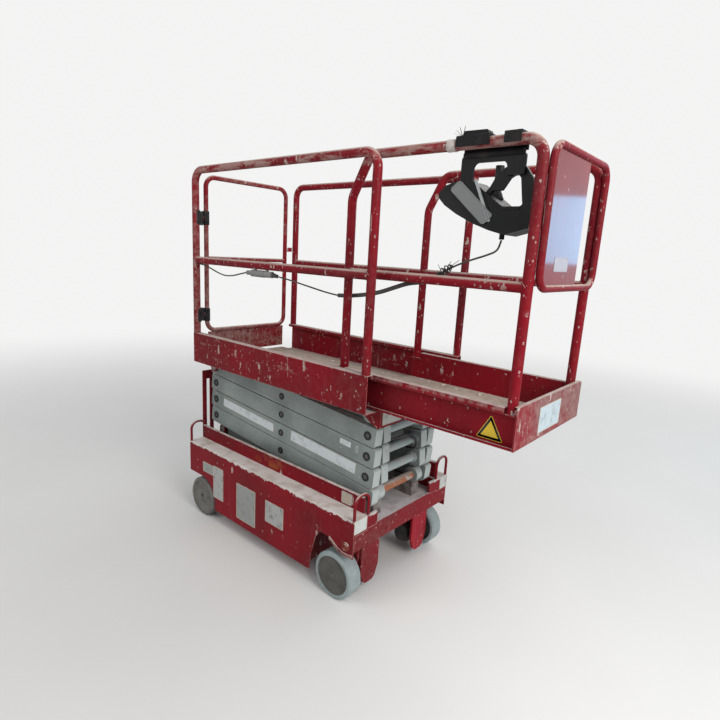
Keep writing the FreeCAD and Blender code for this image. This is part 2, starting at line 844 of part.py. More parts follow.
def stub_pins(name, along, start, end):
    right = rod(name + "_left", "y", (along, start, 0), end - start, D["pin_radius"])
    return [right, mirrored(name + "_right", right)]


pin_end = D["outer_arm_y"] + D["arm_width"] - D["pin_recess"]


def finished_arm(label, parts, level, sign):
    """Fuse an arm pair, tilt it to its stowed slope and set its height."""
    item = fuse(label + "_pair", parts)
    item.Placement = FreeCAD.Placement(Vector(), Rotation(Vector(0, 1, 0), 10))
    item.Label = label
    bind(item, "Placement.Rotation.Angle", stowed_angle * sign)
    if sign < 0:
        item.Placement = FreeCAD.Placement(Vector(), Rotation(Vector(0, -1, 0), 10))
        bind(item, "Placement.Rotation.Angle", stowed_angle)
    place(item, -plan_centre, 0, D["stack_base"] + (level - 0.5) * D["level_step"])
    NODES.append(item)


def rollers(name, along, y):
    left = rod(name + "_left", "y", (along, y, 0), D["arm_width"] - 4, D["roller_radius"])
    return [left, mirrored(name + "_right", left)]


def outer_arms(level):
    name = "outer_%d" % level
    bores = [0] if level == 1 else [0, half_arm]
    side = arm_side(name, D["outer_arm_y"], bores, [-half_arm], {1: (1,), 4: (3,)}.get(level, ()))
    parts = [side, mirrored(name + "_mirror", side)]
    if level < 4:
        parts += cross_shaft(name + "_rear", -half_arm, pin_end, D["cross_radius"])
    else:
        reach = D["outer_arm_y"] + D["arm_width"] + D["run_gap"] + D["hinge_lug"]
        parts += cross_shaft(name + "_rear", -half_arm, reach, D["cross_radius"])
    if level == 1:
        parts += cross_shaft(name + "_axle", half_arm, D["outer_arm_y"] + 4, D["cross_radius"])
        parts += rollers(name + "_roller", half_arm, D["inner_arm_y"] + 2)
    finished_arm("outer_arms_%d" % level, parts, level, 1)


def inner_arms(level):
    name = "inner_%d" % level
    bores = [] if level == 1 else [-half_arm]
    side = arm_side(name, D["inner_arm_y"], bores, [], {1: (0,), 4: (2,)}.get(level, ()))
    parts = [side, mirrored(name + "_mirror", side)]
    reach = pin_end if level < 4 else D["outer_arm_y"] + D["arm_width"]
    parts += cross_shaft(name + "_front", half_arm, reach, D["cross_radius"])
    parts += collars(name, level > 1)
    parts += stub_pins(name + "_centre", 0, D["inner_arm_y"] + 4, pin_end)
    if level == 1:
        parts += stub_pins(name + "_base", -half_arm,
                           D["inner_arm_y"] - D["run_gap"] - D["hinge_lug"] - 6,
                           D["inner_arm_y"] + D["arm_width"] + D["run_gap"] + D["hinge_lug"])
        parts.append(rod("cylinder_foot", "y", (-D["cylinder_offset"], -D["inner_arm_y"] - 2, 0),
                         D["inner_arm_y"] * 2 + 4, D["foot_pin_radius"]))
    if level == 2:
        parts += rod_bracket()
    if level == 4:
        parts += rollers(name + "_roller", half_arm, D["outer_arm_y"] + 2)
    finished_arm("inner_arms_%d" % level, parts, level, -1)


def collars(name, hollow_rear):
    """Thrust collars between the arms, and a flange inside on the front tube."""
    start = D["inner_arm_y"] + D["arm_width"] - 1
    length = D["arm_gap"] + 1 - D["rest_gap"]
    left = [rod("%s_collar_%s" % (name, spot), "y", (along, start, 0), length, D["collar_radius"])
            for spot, along in (("centre", 0), ("front", half_arm))]
    left.append(rod(name + "_flange", "y", (half_arm, D["inner_arm_y"] - 10, 0), 11,
                    D["collar_radius"]))
    if hollow_rear:
        ring = rod(name + "_ring", "y", (-half_arm, start, 0), length, D["collar_radius"])
        bore = rod(name + "_ring_bore", "y", (-half_arm, start - 1, 0), length + 2,
                   D["pin_radius"] + D["fit_gap"])
        left.append(cut(name + "_collar_rear", ring, [bore]))
    return left + [mirrored(item.Name + "_right", item) for item in left]


def rod_bracket():
    """Cross tube with two ears that hold the lift cylinder's upper pin."""
    pin = D["cylinder_offset"]
    far = pin + 66
    rise = Size("22", 22)
    ear_y = D["eye_width"] / 2 + D["run_gap"]
    tube = rod("rod_cross_tube", "y", (far, -D["inner_arm_y"] - 2, rise),
               D["inner_arm_y"] * 2 + 4, D["cross_radius"] - 2)
    ear = fuse("rod_ear", [
        outline_pad("rod_ear_plate", "XZ", (
            (pin - 4, -24), (pin + 20, -24), (far + 18, rise - 6), (far + 12, rise + 17),
            (far - 12, rise + 19), (pin - 8, 23)), ear_y, 10),
        rod("rod_ear_round", "y", (pin, ear_y, 0), 10, 24),
        rod("rod_ear_boss", "y", (pin, ear_y, 0), 20, 14)])
    return [tube, ear, mirrored("rod_ear_mirror", ear)]


for level in (1, 2, 3, 4):
    outer_arms(level)
    inner_arms(level)


# Lift cylinder between the first and second inner arms.

foot_x = -D["cylinder_offset"] * cosine(stowed_angle)
foot_z = D["stack_base"] + D["level_step"] / 2 - D["cylinder_offset"] * sine(stowed_angle)
head_x = D["cylinder_offset"] * cosine(stowed_angle)
head_z = D["stack_base"] + D["level_step"] * 1.5 + D["cylinder_offset"] * sine(stowed_angle)
closed_length = root((head_x - foot_x) * (head_x - foot_x) + (head_z - foot_z) * (head_z - foot_z))
cylinder_slope = arcsine((head_z - foot_z) / closed_length)


def lean(label, item):
    """Lay a piece that is drawn along X along the cylinder's line."""
    item.Label = label
    item.Placement = FreeCAD.Placement(Vector(), Rotation(Vector(0, -1, 0), 10))
    bind(item, "Placement.Rotation.Angle", cylinder_slope)
    place(item, foot_x - plan_centre, 0, foot_z)
    NODES.append(item)


def lift_cylinder():
    eye_half = D["eye_width"] / 2
    length = closed_length - D["rod_showing"]
    start = D["eye_radius"] - 4
    barrel = fuse("barrel_blank", [
        rod("barrel_can", "x", (start, 0, 0), length - start, D["barrel_radius"]),
        rod("barrel_gland", "x", (length - 34, 0, 0), 30, D["barrel_radius"] + 4),
        rod("barrel_port", "z", (start + 36, 0, D["barrel_radius"] - 6), 18, 11),
        rod("barrel_eye", "y", (0, -eye_half, 0), D["eye_width"], D["eye_radius"] + 4)])
    hollow = [
        rod("barrel_hollow", "x", (D["eye_radius"] + 20, 0, 0), length - D["eye_radius"] - 50,
            D["barrel_bore"]),
        rod("gland_bore", "x", (length - 40, 0, 0), 50, D["rod_radius"] + D["fit_gap"]),
        rod("foot_bore", "y", (0, -eye_half - 1, 0), D["eye_width"] + 2,
            D["foot_pin_radius"] + D["fit_gap"])]
    lean("lift_barrel", cut("barrel_steel", barrel, hollow))
    piston = D["eye_radius"] + 24
    ram = fuse("ram_steel", [
        rod("ram_rod", "x", (piston, 0, 0), closed_length - piston - 20, D["rod_radius"]),
        rod("ram_piston", "x", (piston, 0, 0), 26, D["barrel_bore"] - D["fit_gap"]),
        rod("ram_eye", "y", (closed_length, -eye_half, 0), D["eye_width"], D["eye_radius"] - 2)])
    lean("lift_rod", ram)


lift_cylinder()


def vectors(points):
    return [Vector(*[float(part) for part in point]) for point in points]


def tube_run(points, bends, radius):
    """A tube through corner points with one bend radius, or one for each corner."""
    path = vectors(points)
    if not isinstance(bends, tuple):
        bends = (bends,) * (len(path) - 2)
    return bent_tube(path, [float(bend) for bend in bends], float(radius))


def straight_tube(start, end, radius):
    first, last = vectors((start, end))
    return Part.makeCylinder(float(radius), (last - first).Length, first, last - first)


# Platform: folded side sills, thin deck, hinge ears and roller tracks.

def platform_sill():
    outer = half_width - D["sill_set_in"]
    inner = outer - D["sill_depth"]
    wall = D["sill_wall"]
    low = D["sill_bottom"]
    top = D["toe_top"]
    hem = 18
    length = D["platform_front"] - D["platform_rear"]
    fold = outline_pad("sill_fold", "YZ", (
        (-outer, low), (-D["sill_flange"], low), (-D["sill_flange"], low + wall),
        (wall - outer, low + wall), (wall - outer, top - wall), (-inner - wall, top - wall),
        (-inner - wall, top - hem), (-inner, top - hem), (-inner, top), (-outer, top)),
        D["platform_rear"], length, ((wall, (0, 8, 9)),))
    front = D["platform_front"]
    gusset = outline_pad("sill_gusset", "XZ", (
        (front - 94, low + wall), (front - 94, low - 42), (front - 53, low - 70),
        (front - 14, low - 88), (front, low - 78), (front, low + wall)), -D["sill_flange"] - 6, 6,
        ((10, (1, 3, 4)),))
    return fuse("sill_right", [fold, gusset])


sill = platform_sill()
node("platform_sill_right", sill)
twin("platform_sill_left", sill)


def hanging_ear(name, x, top, pin_z, y, thick, reach):
    """An ear that hangs from its top down round a pin at height pin_z."""
    ear = fuse(name + "_ear", [
        box(name + "_leg", (x - reach, y, pin_z), (reach * 2, thick, top - pin_z)),
        rod(name + "_round", "y", (x, y, pin_z), thick, reach)])
    hole = rod(name + "_hole", "y", (x, y - 1, pin_z), thick + 2, D["pin_radius"] + D["fit_gap"])
    return cut(name, ear, [hole])


def platform_deck():
    half = D["deck_half"]
    under = D["deck_under"]
    rear = D["platform_rear"]
    edge = 6
    rib = 40
    between_arms = D["inner_arm_y"] - edge
    length = D["platform_front"] - rear
    outer_end = D["outer_arm_y"] + D["arm_width"]
    reach = D["pin_radius"] + D["lug_wall"]
    parts = [box("deck_sheet", (rear, -half, under), (length, half * 2, D["deck_plate"]))]
    for i in range(5):
        parts.append(box("deck_rib_%d" % i, (rear + rib + (length - rib * 3) * i / 4,
                                             -between_arms, under - edge),
                         (rib, between_arms * 2, edge)))
    track_low = D["stack_top"] + D["roller_radius"] + D["rest_gap"]
    track_length = D["chassis_half"] - D["track_end_gap"] - D["track_start"]
    left = [
        box("deck_edge", (rear, half - edge, D["sill_rest"]), (length, edge, under - D["sill_rest"])),
        box("roller_track", (D["track_start"], D["outer_arm_y"] - 2, track_low),
            (track_length, D["arm_width"] + 4, under - track_low)),
        hanging_ear("ear_outer", -pin_run, under, D["stack_top"], outer_end + D["run_gap"],
                    D["hinge_lug"], reach),
        hanging_ear("ear_inner", -pin_run, under, D["stack_top"],
                    D["outer_arm_y"] - D["run_gap"] - D["hinge_lug"], D["hinge_lug"], reach)]
    parts += left
    parts += [mirrored(item.Name + "_right", item) for item in left]
    tab_drop = 94
    parts.append(box("front_tab", (D["platform_front"] - edge, D["rest_gap"] - D["sill_flange"],
                                   under - tab_drop), (edge, 150, tab_drop)))
    return fuse("deck_steel", parts)


node("platform_deck", platform_deck())


def main_rail(sign):
    y = D["rail_y"] * sign
    rear = D["rail_rear_x"]
    front = D["rail_front_x"]
    radius = D["rail_radius"]
    corners = ((rear, y, D["toe_top"]), (rear, y, D["rail_top"]), (front, y, D["rail_top"]),
               (front, y, D["toe_top"]))
    hoop = tube_run(corners, D["rail_bend"], radius)
    middle = straight_tube((rear, y, D["rail_mid"]), (front, y, D["rail_mid"]), radius)
    return solid_feature("main_rail_form", hoop.fuse(middle).removeSplitter())


node("main_rail_right", main_rail(-1))
node("main_rail_left", main_rail(1))


# Entry gate at the rear: a tube frame with a kick plate, hung on two hinges.

gate_x = D["gate_x"]
HINGE_RISES = (("lower", 102), ("upper", 627))


def gate_frame():
    radius = D["gate_tube"]
    near = D["gate_near_y"]
    far = D["gate_far_y"]
    join = D["gate_mid"] + 90
    upper = tube_run(((gate_x, near, join), (gate_x, near, D["gate_top"]),
                      (gate_x, far, D["gate_top"]), (gate_x, far, join)), D["gate_bend"], radius)
    lower = tube_run(((gate_x, near, join), (gate_x, near, D["gate_bottom"]),
                      (gate_x, far, D["gate_bottom"]), (gate_x, far, join)),
                     D["gate_bend"], radius)
    bar = straight_tube((gate_x, near, D["gate_mid"]), (gate_x, far, D["gate_mid"]), radius - 1)
    return solid_feature("gate_hoop", upper.fuse([lower, bar]).removeSplitter())


def gate():
    near = D["gate_near_y"]
    axis = D["gate_axis_y"]
    knuckle = D["hinge_knuckle"]
    kick_top = D["gate_bottom"] - D["gate_tube"] + 4
    latch_start = D["gate_far_y"] + D["gate_tube"] - 4
    parts = [gate_frame(),
             box("kick_plate", (gate_x - D["kick_plate"] / 2, near + 6, D["kick_bottom"]),
                 (D["kick_plate"], D["gate_far_y"] - near - 12, kick_top - D["kick_bottom"])),
             box("latch_block", (gate_x - 10, latch_start, D["gate_mid"] + 58), (20, 42, 26))]
    bores = []
    for name, rise in HINGE_RISES:
        z = D["toe_top"] + rise
        low = z - knuckle / 2
        parts.append(box("hinge_leaf_" + name, (gate_x - 6, axis, low), (12, near - axis, knuckle)))
        parts.append(rod("hinge_eye_" + name, "z", (gate_x, axis, low), knuckle,
                         D["hinge_barrel"] - 1))
        bores.append(rod("hinge_bore_" + name, "z", (gate_x, axis, low - 1), knuckle + 2,
                         D["hinge_pin"] + D["fit_gap"]))
    return cut("gate_steel", fuse("gate_blank", parts), bores)


node("gate", gate())


def gate_hinges():
    parts = []
    y = D["gate_axis_y"]
    knuckle = D["hinge_knuckle"]
    for name, rise in HINGE_RISES:
        z = D["toe_top"] + rise
        step = knuckle / 2 + D["rest_gap"]
        parts.append(fuse("spring_hinge_" + name, [
            rod("hinge_low_" + name, "z", (gate_x, y, z - step - knuckle), knuckle,
                D["hinge_barrel"]),
            rod("hinge_high_" + name, "z", (gate_x, y, z + step), knuckle, D["hinge_barrel"]),
            rod("hinge_pin_" + name, "z", (gate_x, y, z - step - 18), step * 2 + 36,
                D["hinge_pin"])]))
    return gather("spring_hinges", parts)


node("gate_hinges", gate_hinges())


# Slide-out deck: a shallow tray on side channels with its own rails.

def slide_frame():
    """Folded channels open outwards, notched at the rail posts, with a plate across the front."""
    outer = D["slide_half"]
    fold = D["slide_web"]
    web = D["slide_web_y"]
    inner = D["slide_inner"]
    low = D["slide_bottom"]
    top = D["slide_top"]
    face = D["fascia_plate"]
    foot = D["slide_post_foot"]
    width = D["rail_radius"] + D["rest_gap"]
    length = D["slide_front"] - face - D["slide_rear"]
    channel = outline_pad("slide_fold", "YZ", (
        (-inner, low), (-outer, low), (-outer, low + D["slide_foot_lip"]),
        (fold - outer, low + D["slide_foot_lip"]), (fold - outer, low + fold), (-web, low + fold),
        (-web, top - fold), (fold - outer, top - fold), (fold - outer, foot), (-outer, foot),
        (-outer, top), (-inner, top)), D["slide_rear"], length)
    posts = (("rear", D["slide_post_rear"]), ("front", D["slide_post_front"]))
    notches = [box("post_notch_" + name, (x - width, -outer - 1, foot),
                   (width * 2, outer - inner + 2, D["slide_lip"] + 1)) for name, x in posts]
    plates = [box("post_foot_" + name,
                  (x - width, D["slide_post_set"] - outer, foot - D["post_foot_plate"]),
                  (width * 2, width * 2, D["post_foot_plate"])) for name, x in posts]
    right = fuse("slide_channel", [cut("slide_notched", channel, notches)] + plates)
    pad_height = D["glide_height"] - D["rest_gap"]
    rear_pad = box("slide_rear_pad", (D["slide_rear"], -outer, low - pad_height),
                   (60, D["glide_width"], pad_height))
    wide = outer + D["fascia_lap"]
    crest = top + 12
    fascia = outline_pad("slide_fascia", "YZ", (
        (-wide, low + 2), (wide, low + 2), (wide, crest), (-wide, crest)),
        D["slide_front"] - face, face, ((10, (2, 3)),))
    turned = box("slide_fascia_fold", (D["slide_front"] - 16, 10 - wide, crest - fold),
                 (16, wide * 2 - 20, fold))
    return fuse("slide_steel", [right, mirrored("slide_channel_left", right), fascia, turned,
                                rear_pad, mirrored("slide_rear_pad_left", rear_pad)])


node("slide_frame", slide_frame())


def slide_deck():
    half = D["slide_inner"]
    base = D["slide_deck"] - D["slide_plate"]
    length = D["slide_front"] - D["fascia_plate"] - D["slide_rear"]
    floor = box("slide_sheet", (D["slide_rear"], -half, base), (length, half * 2, D["slide_plate"]))
    slot = box("slide_slot", (D["slide_rear"] + 90, -40, base - 1), (26, 150, D["slide_plate"] + 2))
    return cut("slide_floor", floor, [slot])


node("slide_deck", slide_deck())


def glide_pads():
    """Front pads on the sills that carry the slide-out tray."""
    right = box("glide_right", (D["platform_front"] - 70, -D["slide_half"], D["sill_rest"]),
                (60, 12, D["glide_height"] - D["rest_gap"]))
    return gather("glides", [right, mirrored("glide_left", right)])


node("glide_pads", glide_pads())


def slide_rail(sign):
    y = D["slide_rail_y"] * sign
    rear = D["slide_post_rear"]
    front = D["slide_post_front"]
    top = D["slide_rail_top"]
    radius = D["rail_radius"]
    foot = D["slide_post_foot"]
    corners = ((rear, y, foot), (rear, y, top - 163), (rear + 88, y, top), (front, y, top),
               (front, y, foot))
    hoop = tube_run(corners, (80, 55, D["rail_bend"]), radius)
    middle = straight_tube((rear, y, D["slide_rail_mid"]), (front, y, D["slide_rail_mid"]), radius)
    return solid_feature("slide_rail_form", hoop.fuse(middle).removeSplitter())


node("slide_rail_right", slide_rail(-1))
node("slide_rail_left", slide_rail(1))

guard_half = D["slide_rail_y"] - 14
guard_low = D["slide_rail_mid"] - 2
guard_high = D["slide_rail_top"] - D["guard_tube"]


def guard_loop():
    x = D["guard_x_middle"]
    middle = (guard_low + guard_high) / 2
    halves = [tube_run(((x, -guard_half, middle), (x, -guard_half, end), (x, guard_half, end),
                        (x, guard_half, middle)), D["guard_bend"], D["guard_tube"])
              for end in (guard_low, guard_high)]
    return solid_feature("guard_hoop", halves[0].fuse(halves[1]).removeSplitter())


node("guard_loop", guard_loop())


def guard_sheet():
    inside = D["guard_tube"] + D["rest_gap"]
    y = guard_half - inside
    low = guard_low + inside
    high = guard_high - inside
    corner = D["guard_bend"] - D["guard_tube"]
    start = D["guard_x_middle"] - D["guard_plate"] / 2
    return outline_pad("guard_panel", "YZ", ((-y, low), (70, low), (70, high), (-y, high)),
                       start, D["guard_plate"], ((corner, (0, 3)),))


node("guard_sheet", gather("guard_sheet_set", [guard_sheet()]))


# Control station: a moulded housing hung inside the slide-out top rail.

station_x = D["station_x"]
station_z = D["station_top"]
station_y = D["station_y"]

HOUSING = (
    # forward of and above the station's reference corner
    (-191, -48), (-155, -15), (-103, 0), (-44, -4), (79, -92), (146, -92), (154, -60), (193, -59),
    (187, -129), (191, -159), (93, -186), (34, -171), (-32, -148), (-102, -115), (-153, -84),
)
GUARD_RING = (
    (0, -44), (18, -26), (34, 3), (67, 34), (78, 40), (143, 36), (170, 0), (190, -64), (185, -110),
    (150, -110), (141, -74), (129, 0), (115, 15), (90, 2), (64, -37), (28, -37), (14, -58),
)
STRAP_FRAME = ((-96, -30), (-96, 80), (143, 80), (143, 10), (80, 10), (80, 56), (-48, 56), (-48, -30))


def at_station(points):
    return [(station_x + along, station_z + up) for along, up in points]


STICK_AT = (station_x + 18, D["station_depth"] * 0.7 - station_y, station_z - 58)
BUTTON_AT = (station_x - 78, D["station_depth"] * 0.6 - station_y, station_z - 4)


def control_housing():
    tub = outline_pad("housing_tub", "XZ", at_station(HOUSING), -station_y, D["station_depth"],
                      ((20, (0, 1, 2)), (14, (3, 9, 14)), (10, (4, 5)), (8, (6, 7))))
    ring = outline_pad("housing_ring", "XZ", at_station(GUARD_RING), D["strap_plate"] - station_y,
                       16, ((14, (2, 4, 5, 6)), (9, (11, 12)), (6, (13, 14, 15))))
    straps = outline_pad("housing_straps", "XZ", at_station(STRAP_FRAME), -station_y,
                         D["strap_plate"], ((20, (5, 6)), (12, (1, 2))))
    bridge = box("housing_bridge", (station_x + 81, -station_y, station_z + 11),
                 (61, D["strap_plate"] + 10, 22))
    gland = rod("housing_gland", "z", (station_x + 70, 38 - station_y, station_z - 200), 26, 9)
    trim = [outline_pad("cover_rib_" + name, "XZ", at_station(points), -station_y - 3, 4)
            for name, points in (
                ("steep", ((-46, -2), (-38, -6), (-4, -34), (32, -106), (22, -106), (-14, -38))),
                ("valley", ((-40, -8), (-34, -16), (82, -102), (140, -102), (140, -93), (80, -93))))]
    solid = fuse("housing_form", [tub, ring, straps, bridge, gland] + trim)
    seats = [rod("boot_seat", "z", STICK_AT, 60, 25), rod("button_seat", "z", BUTTON_AT, 20, 13)]
    return cut("housing_shell", solid, seats)


node("control_housing", control_housing())


def control_cover():
    """Sloping grey side plate of the housing."""
    return outline_pad("cover_plate", "XZ", at_station(
        ((-125, -21), (-101, -10), (37, -127), (12, -149))), -station_y - 4, 4,
        ((8, (0, 1, 2, 3)),))


node("control_cover", gather("cover_set", [control_cover()]))


def control_hook():
    """Two steel saddles over the top rail, joined by a plate behind the straps."""
    rail = D["slide_rail_y"]
    radius = D["rail_radius"]
    plate = D["hook_plate"]
    top = D["slide_rail_top"] + radius + D["rest_gap"]
    outside = rail + radius + D["rest_gap"] + plate
    behind = D["strap_plate"] - station_y + D["rest_gap"]
    low = D["slide_rail_top"] - radius - 8
    profile = ((-outside, top - 30), (plate - outside, top - 30), (plate - outside, top),
               (behind, top), (behind, low), (behind + plate, low), (behind + plate, top + plate),
               (-outside, top + plate))
    saddles = [outline_pad("hook_saddle_" + name, "YZ", profile, station_x + along, wide,
                           ((plate - 1, (6, 7)),))
               for name, along, wide in (("rear", -96, 126), ("front", 84, 58))]
    joint = box("hook_joint", (station_x - 96, behind, low), (238, plate, 34))
    start = station_x - 82
    latch = outline_pad("hook_latch", "XZ", (
        (start, top + plate - 1), (start + 104, top + plate - 1), (start + 98, top + 20),
        (start + 10, top + 22)), -rail - 12, 34, ((6, (2, 3)),))
    return fuse("hook_steel", saddles + [joint, latch])


node("control_hook", control_hook())


def joystick():
    """Grip on a soft boot that sits in the housing's valley."""
    x, y, z = STICK_AT
    boot = Part.makeCone(24, 9, 34, Vector(float(x), float(y), float(z)))
    stick = straight_tube((x, y, z), (x, y, z + 50), 6)
    grip = straight_tube((x, y, z + 44), (x, y, z + 112), 15)
    return solid_feature("joystick_form", boot.fuse([stick, grip]).removeSplitter())


node("joystick", joystick())


def stop_button():
    x, y, z = BUTTON_AT
    return fuse("stop_form", [rod("stop_collar", "z", (x, y, z), 12, 12),
                              rod("stop_head", "z", (x, y, z + 11), 11, 19)])


node("stop_button", stop_button())


# Wiring and hoses: the machine's own leads, tubes along their real routes.

def routed(points):
    """Bend radii: as large as 0.45 of the shorter run beside each corner allows."""
    radii = []
    for before, here, after in zip(points, points[1:], points[2:]):
        turn = math.pi - (before - here).getAngle(after - here)
        shorter = min((before - here).Length, (after - here).Length)
        radii.append(0.45 * shorter / math.tan(turn / 2))
    return radii


def lead(label, points, radius):
    path = vectors(points)
    radii = routed(path)
    shape = bent_tube(path, radii, radius.value)
    runs = sum((b - a).Length for a, b in zip(path, path[1:]))
    print(label, "runs", round(runs), "tightest bend", round(min(radii)))
    node(label, solid_feature(label + "_form", shape))


beside = -D["rail_y"]
mid = D["rail_mid"]
post = D["rail_rear_x"] + D["rail_radius"]
lead("harness_rear", (
    (post + 4, beside + 9, mid - 21), (post + 58, beside + 7, mid - 26),
    (post + 120, beside + 4, mid - 40), (post + 182, beside + 1, mid - 56),
    (-330, beside, mid - 68), (-262, beside, mid - 64), (-196, beside, mid - 50),
    (-142, beside, mid - 39), (-136.2, beside, mid - 39)), D["cable_radius"])
within = -D["slide_rail_y"] + 34
low_rail = D["slide_rail_mid"]
lead("harness_front", (
    (76, beside + 24, mid - 47), (130, beside + 26, mid - 53), (196, beside + 33, mid - 64),
    (262, within - 62, low_rail - 80), (318, within - 36, low_rail - 95),
    (356, within - 14, low_rail - 104), (378, within, low_rail - 108),
    (384.5, within, low_rail - 108)), D["cable_radius"])
lead("conduit", (
    (385, within, low_rail - 108), (450, within, low_rail - 104), (535, within, low_rail - 92),
    (620, within, low_rail - 74), (700, within, low_rail - 46), (765, within - 2, low_rail - 24),
    (838, within - 4, low_rail - 14)), D["conduit_radius"])
inside = 38 - station_y
lead("control_cable", (
    (839, within - 4, low_rail - 14), (882, within - 3, low_rail + 2),
    (925, within - 2, low_rail + 32), (975, within + 2, low_rail + 58),
    (station_x - 30, inside - 22, station_z - 276), (station_x + 20, inside - 10, station_z - 258),
    (station_x + 60, inside - 1, station_z - 240), (station_x + 70, inside, station_z - 202)),
    D["cable_radius"])
arm_side = D["inner_arm_y"] - 8
joint = D["stack_base"] + D["level_step"] * 2
lead("hydraulic_hose", (
    (pin_run - 155, -arm_side, joint - 24), (pin_run - 71, 1 - arm_side, joint - 22),
    (pin_run - 43, 10 - arm_side, joint + 8), (pin_run - 19, 36 - arm_side, joint + 38),
    (pin_run + 17, 82 - arm_side, joint + 44), (pin_run + 17, arm_side - 82, joint + 44),
    (pin_run + 47, arm_side - 34, joint + 18), (pin_run + 41, arm_side - 24, joint - 38),
    (pin_run - 35, arm_side - 16, joint - 48), (pin_run - 115, arm_side - 2, joint - 32),
    (pin_run - 175, arm_side, joint - 20)), D["hose_radius"])


def connector():
    z = D["rail_mid"] - 39
    y = -D["rail_y"]
    return fuse("connector_form", [
        rod("connector_rear", "x", (-136, y, z), 40, 11),
        rod("connector_body", "x", (-98, y, z), 96, 17),
        rod("connector_front", "x", (-4, y, z), 58, 15),
        box("connector_clip_rear", (-80, y - 5, z + 14), (12, 10, 6)),
        box("connector_clip_front", (10, y - 5, z + 12), (12, 10, 8))])


node("connector", connector())

doc.recompute()
for item in doc.Objects:
    if "Invalid" in item.State or "Error" in item.State:
        raise RuntimeError("failed: %s %s %s" % (item.Name, item.Label, item.State))
for item in NODES:
    if item.Shape.isNull() or not item.Shape.isValid():
        raise RuntimeError("bad shape: " + item.Label)

os.makedirs("parts", exist_ok=True)
for item in NODES:
    item.Shape.exportStep("parts/%s.step" % item.Label)
print("nodes", len(NODES))
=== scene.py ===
import math
import random
from contextlib import contextmanager

import bmesh
import bpy
from mathutils import Matrix, Vector


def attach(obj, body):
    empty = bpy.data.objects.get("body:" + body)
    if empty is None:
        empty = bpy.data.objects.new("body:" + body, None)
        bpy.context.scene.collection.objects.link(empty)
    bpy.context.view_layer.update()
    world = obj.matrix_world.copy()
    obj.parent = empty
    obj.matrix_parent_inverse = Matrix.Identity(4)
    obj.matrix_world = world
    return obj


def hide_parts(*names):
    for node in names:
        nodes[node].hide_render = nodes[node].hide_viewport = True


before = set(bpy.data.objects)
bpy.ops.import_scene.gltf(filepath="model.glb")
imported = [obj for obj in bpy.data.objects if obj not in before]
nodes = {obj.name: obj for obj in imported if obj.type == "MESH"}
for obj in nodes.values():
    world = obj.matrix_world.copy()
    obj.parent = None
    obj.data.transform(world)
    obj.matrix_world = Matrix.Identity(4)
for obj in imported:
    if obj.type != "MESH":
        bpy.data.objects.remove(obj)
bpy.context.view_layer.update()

# Viewpoint: a camera at standing height, a step off the machine's near front corner.
# It looks slightly down and is tilted a few degrees.
CHASSIS_X = -0.3135
CAMERA_AT = (1.9812 + CHASSIS_X, -1.9440, 1.5876)
TURN, LOOK_DOWN, TILT = (math.radians(angle) for angle in (40.497, 12.371, 3.167))
LENS_MM, SENSOR_MM, SHIFT_UP = 25.66, 36.0, 0.0078

forward = Vector((-math.sin(TURN) * math.cos(LOOK_DOWN), math.cos(TURN) * math.cos(LOOK_DOWN),
                  -math.sin(LOOK_DOWN)))
level_right = Vector((math.cos(TURN), math.sin(TURN), 0))
level_up = level_right.cross(forward)
right = math.cos(TILT) * level_right + math.sin(TILT) * level_up
up = right.cross(forward)
lens = bpy.data.cameras.new("viewpoint")
lens.lens, lens.sensor_width, lens.shift_y = LENS_MM, SENSOR_MM, SHIFT_UP
viewpoint = bpy.data.objects.new("viewpoint", lens)
axes = Matrix((right, up, -forward)).transposed()
viewpoint.matrix_world = Matrix.Translation(CAMERA_AT) @ axes.to_4x4()
bpy.context.scene.collection.objects.link(viewpoint)
bpy.context.scene.camera = viewpoint
bpy.context.scene.view_settings.view_transform = "Standard"


# Studio: a wide pale floor that fades into an even pale room, and soft panels.
# The brightest panel stands in front on the right; a small cool one gives the blue-white band
# that the guard sheet mirrors.

class Shade:
    """One shader socket that takes part in sums like a number."""

    def __init__(self, finish, socket):
        self.finish = finish
        self.socket = socket

    def math(self, operation, *others):
        return self.finish.make("ShaderNodeMath", {"operation": operation},
                                dict(enumerate((self,) + others)))

    def __add__(self, other):
        return self.math("ADD", other)

    def __sub__(self, other):
        return self.math("SUBTRACT", other)

    def __rsub__(self, other):
        return self.math("MULTIPLY_ADD", -1, other)

    def __mul__(self, other):
        return self.math("MULTIPLY", other)

    __radd__ = __add__
    __rmul__ = __mul__

    def abs(self):
        return self.math("ABSOLUTE")

    def lowest(self, other):
        return self.math("MINIMUM", other)

    def highest(self, other):
        return self.math("MAXIMUM", other)

    def rise(self, low, high):
        """0 below low, 1 above high, a soft step between; it falls where low is above high."""
        return self.finish.make("ShaderNodeMapRange", {"interpolation_type": "SMOOTHSTEP"},
                                {0: self, 1: low, 2: high, 3: 0, 4: 1})

    def between(self, low, high, soft):
        return self.rise(low - soft, low + soft) * self.rise(high + soft, high - soft)


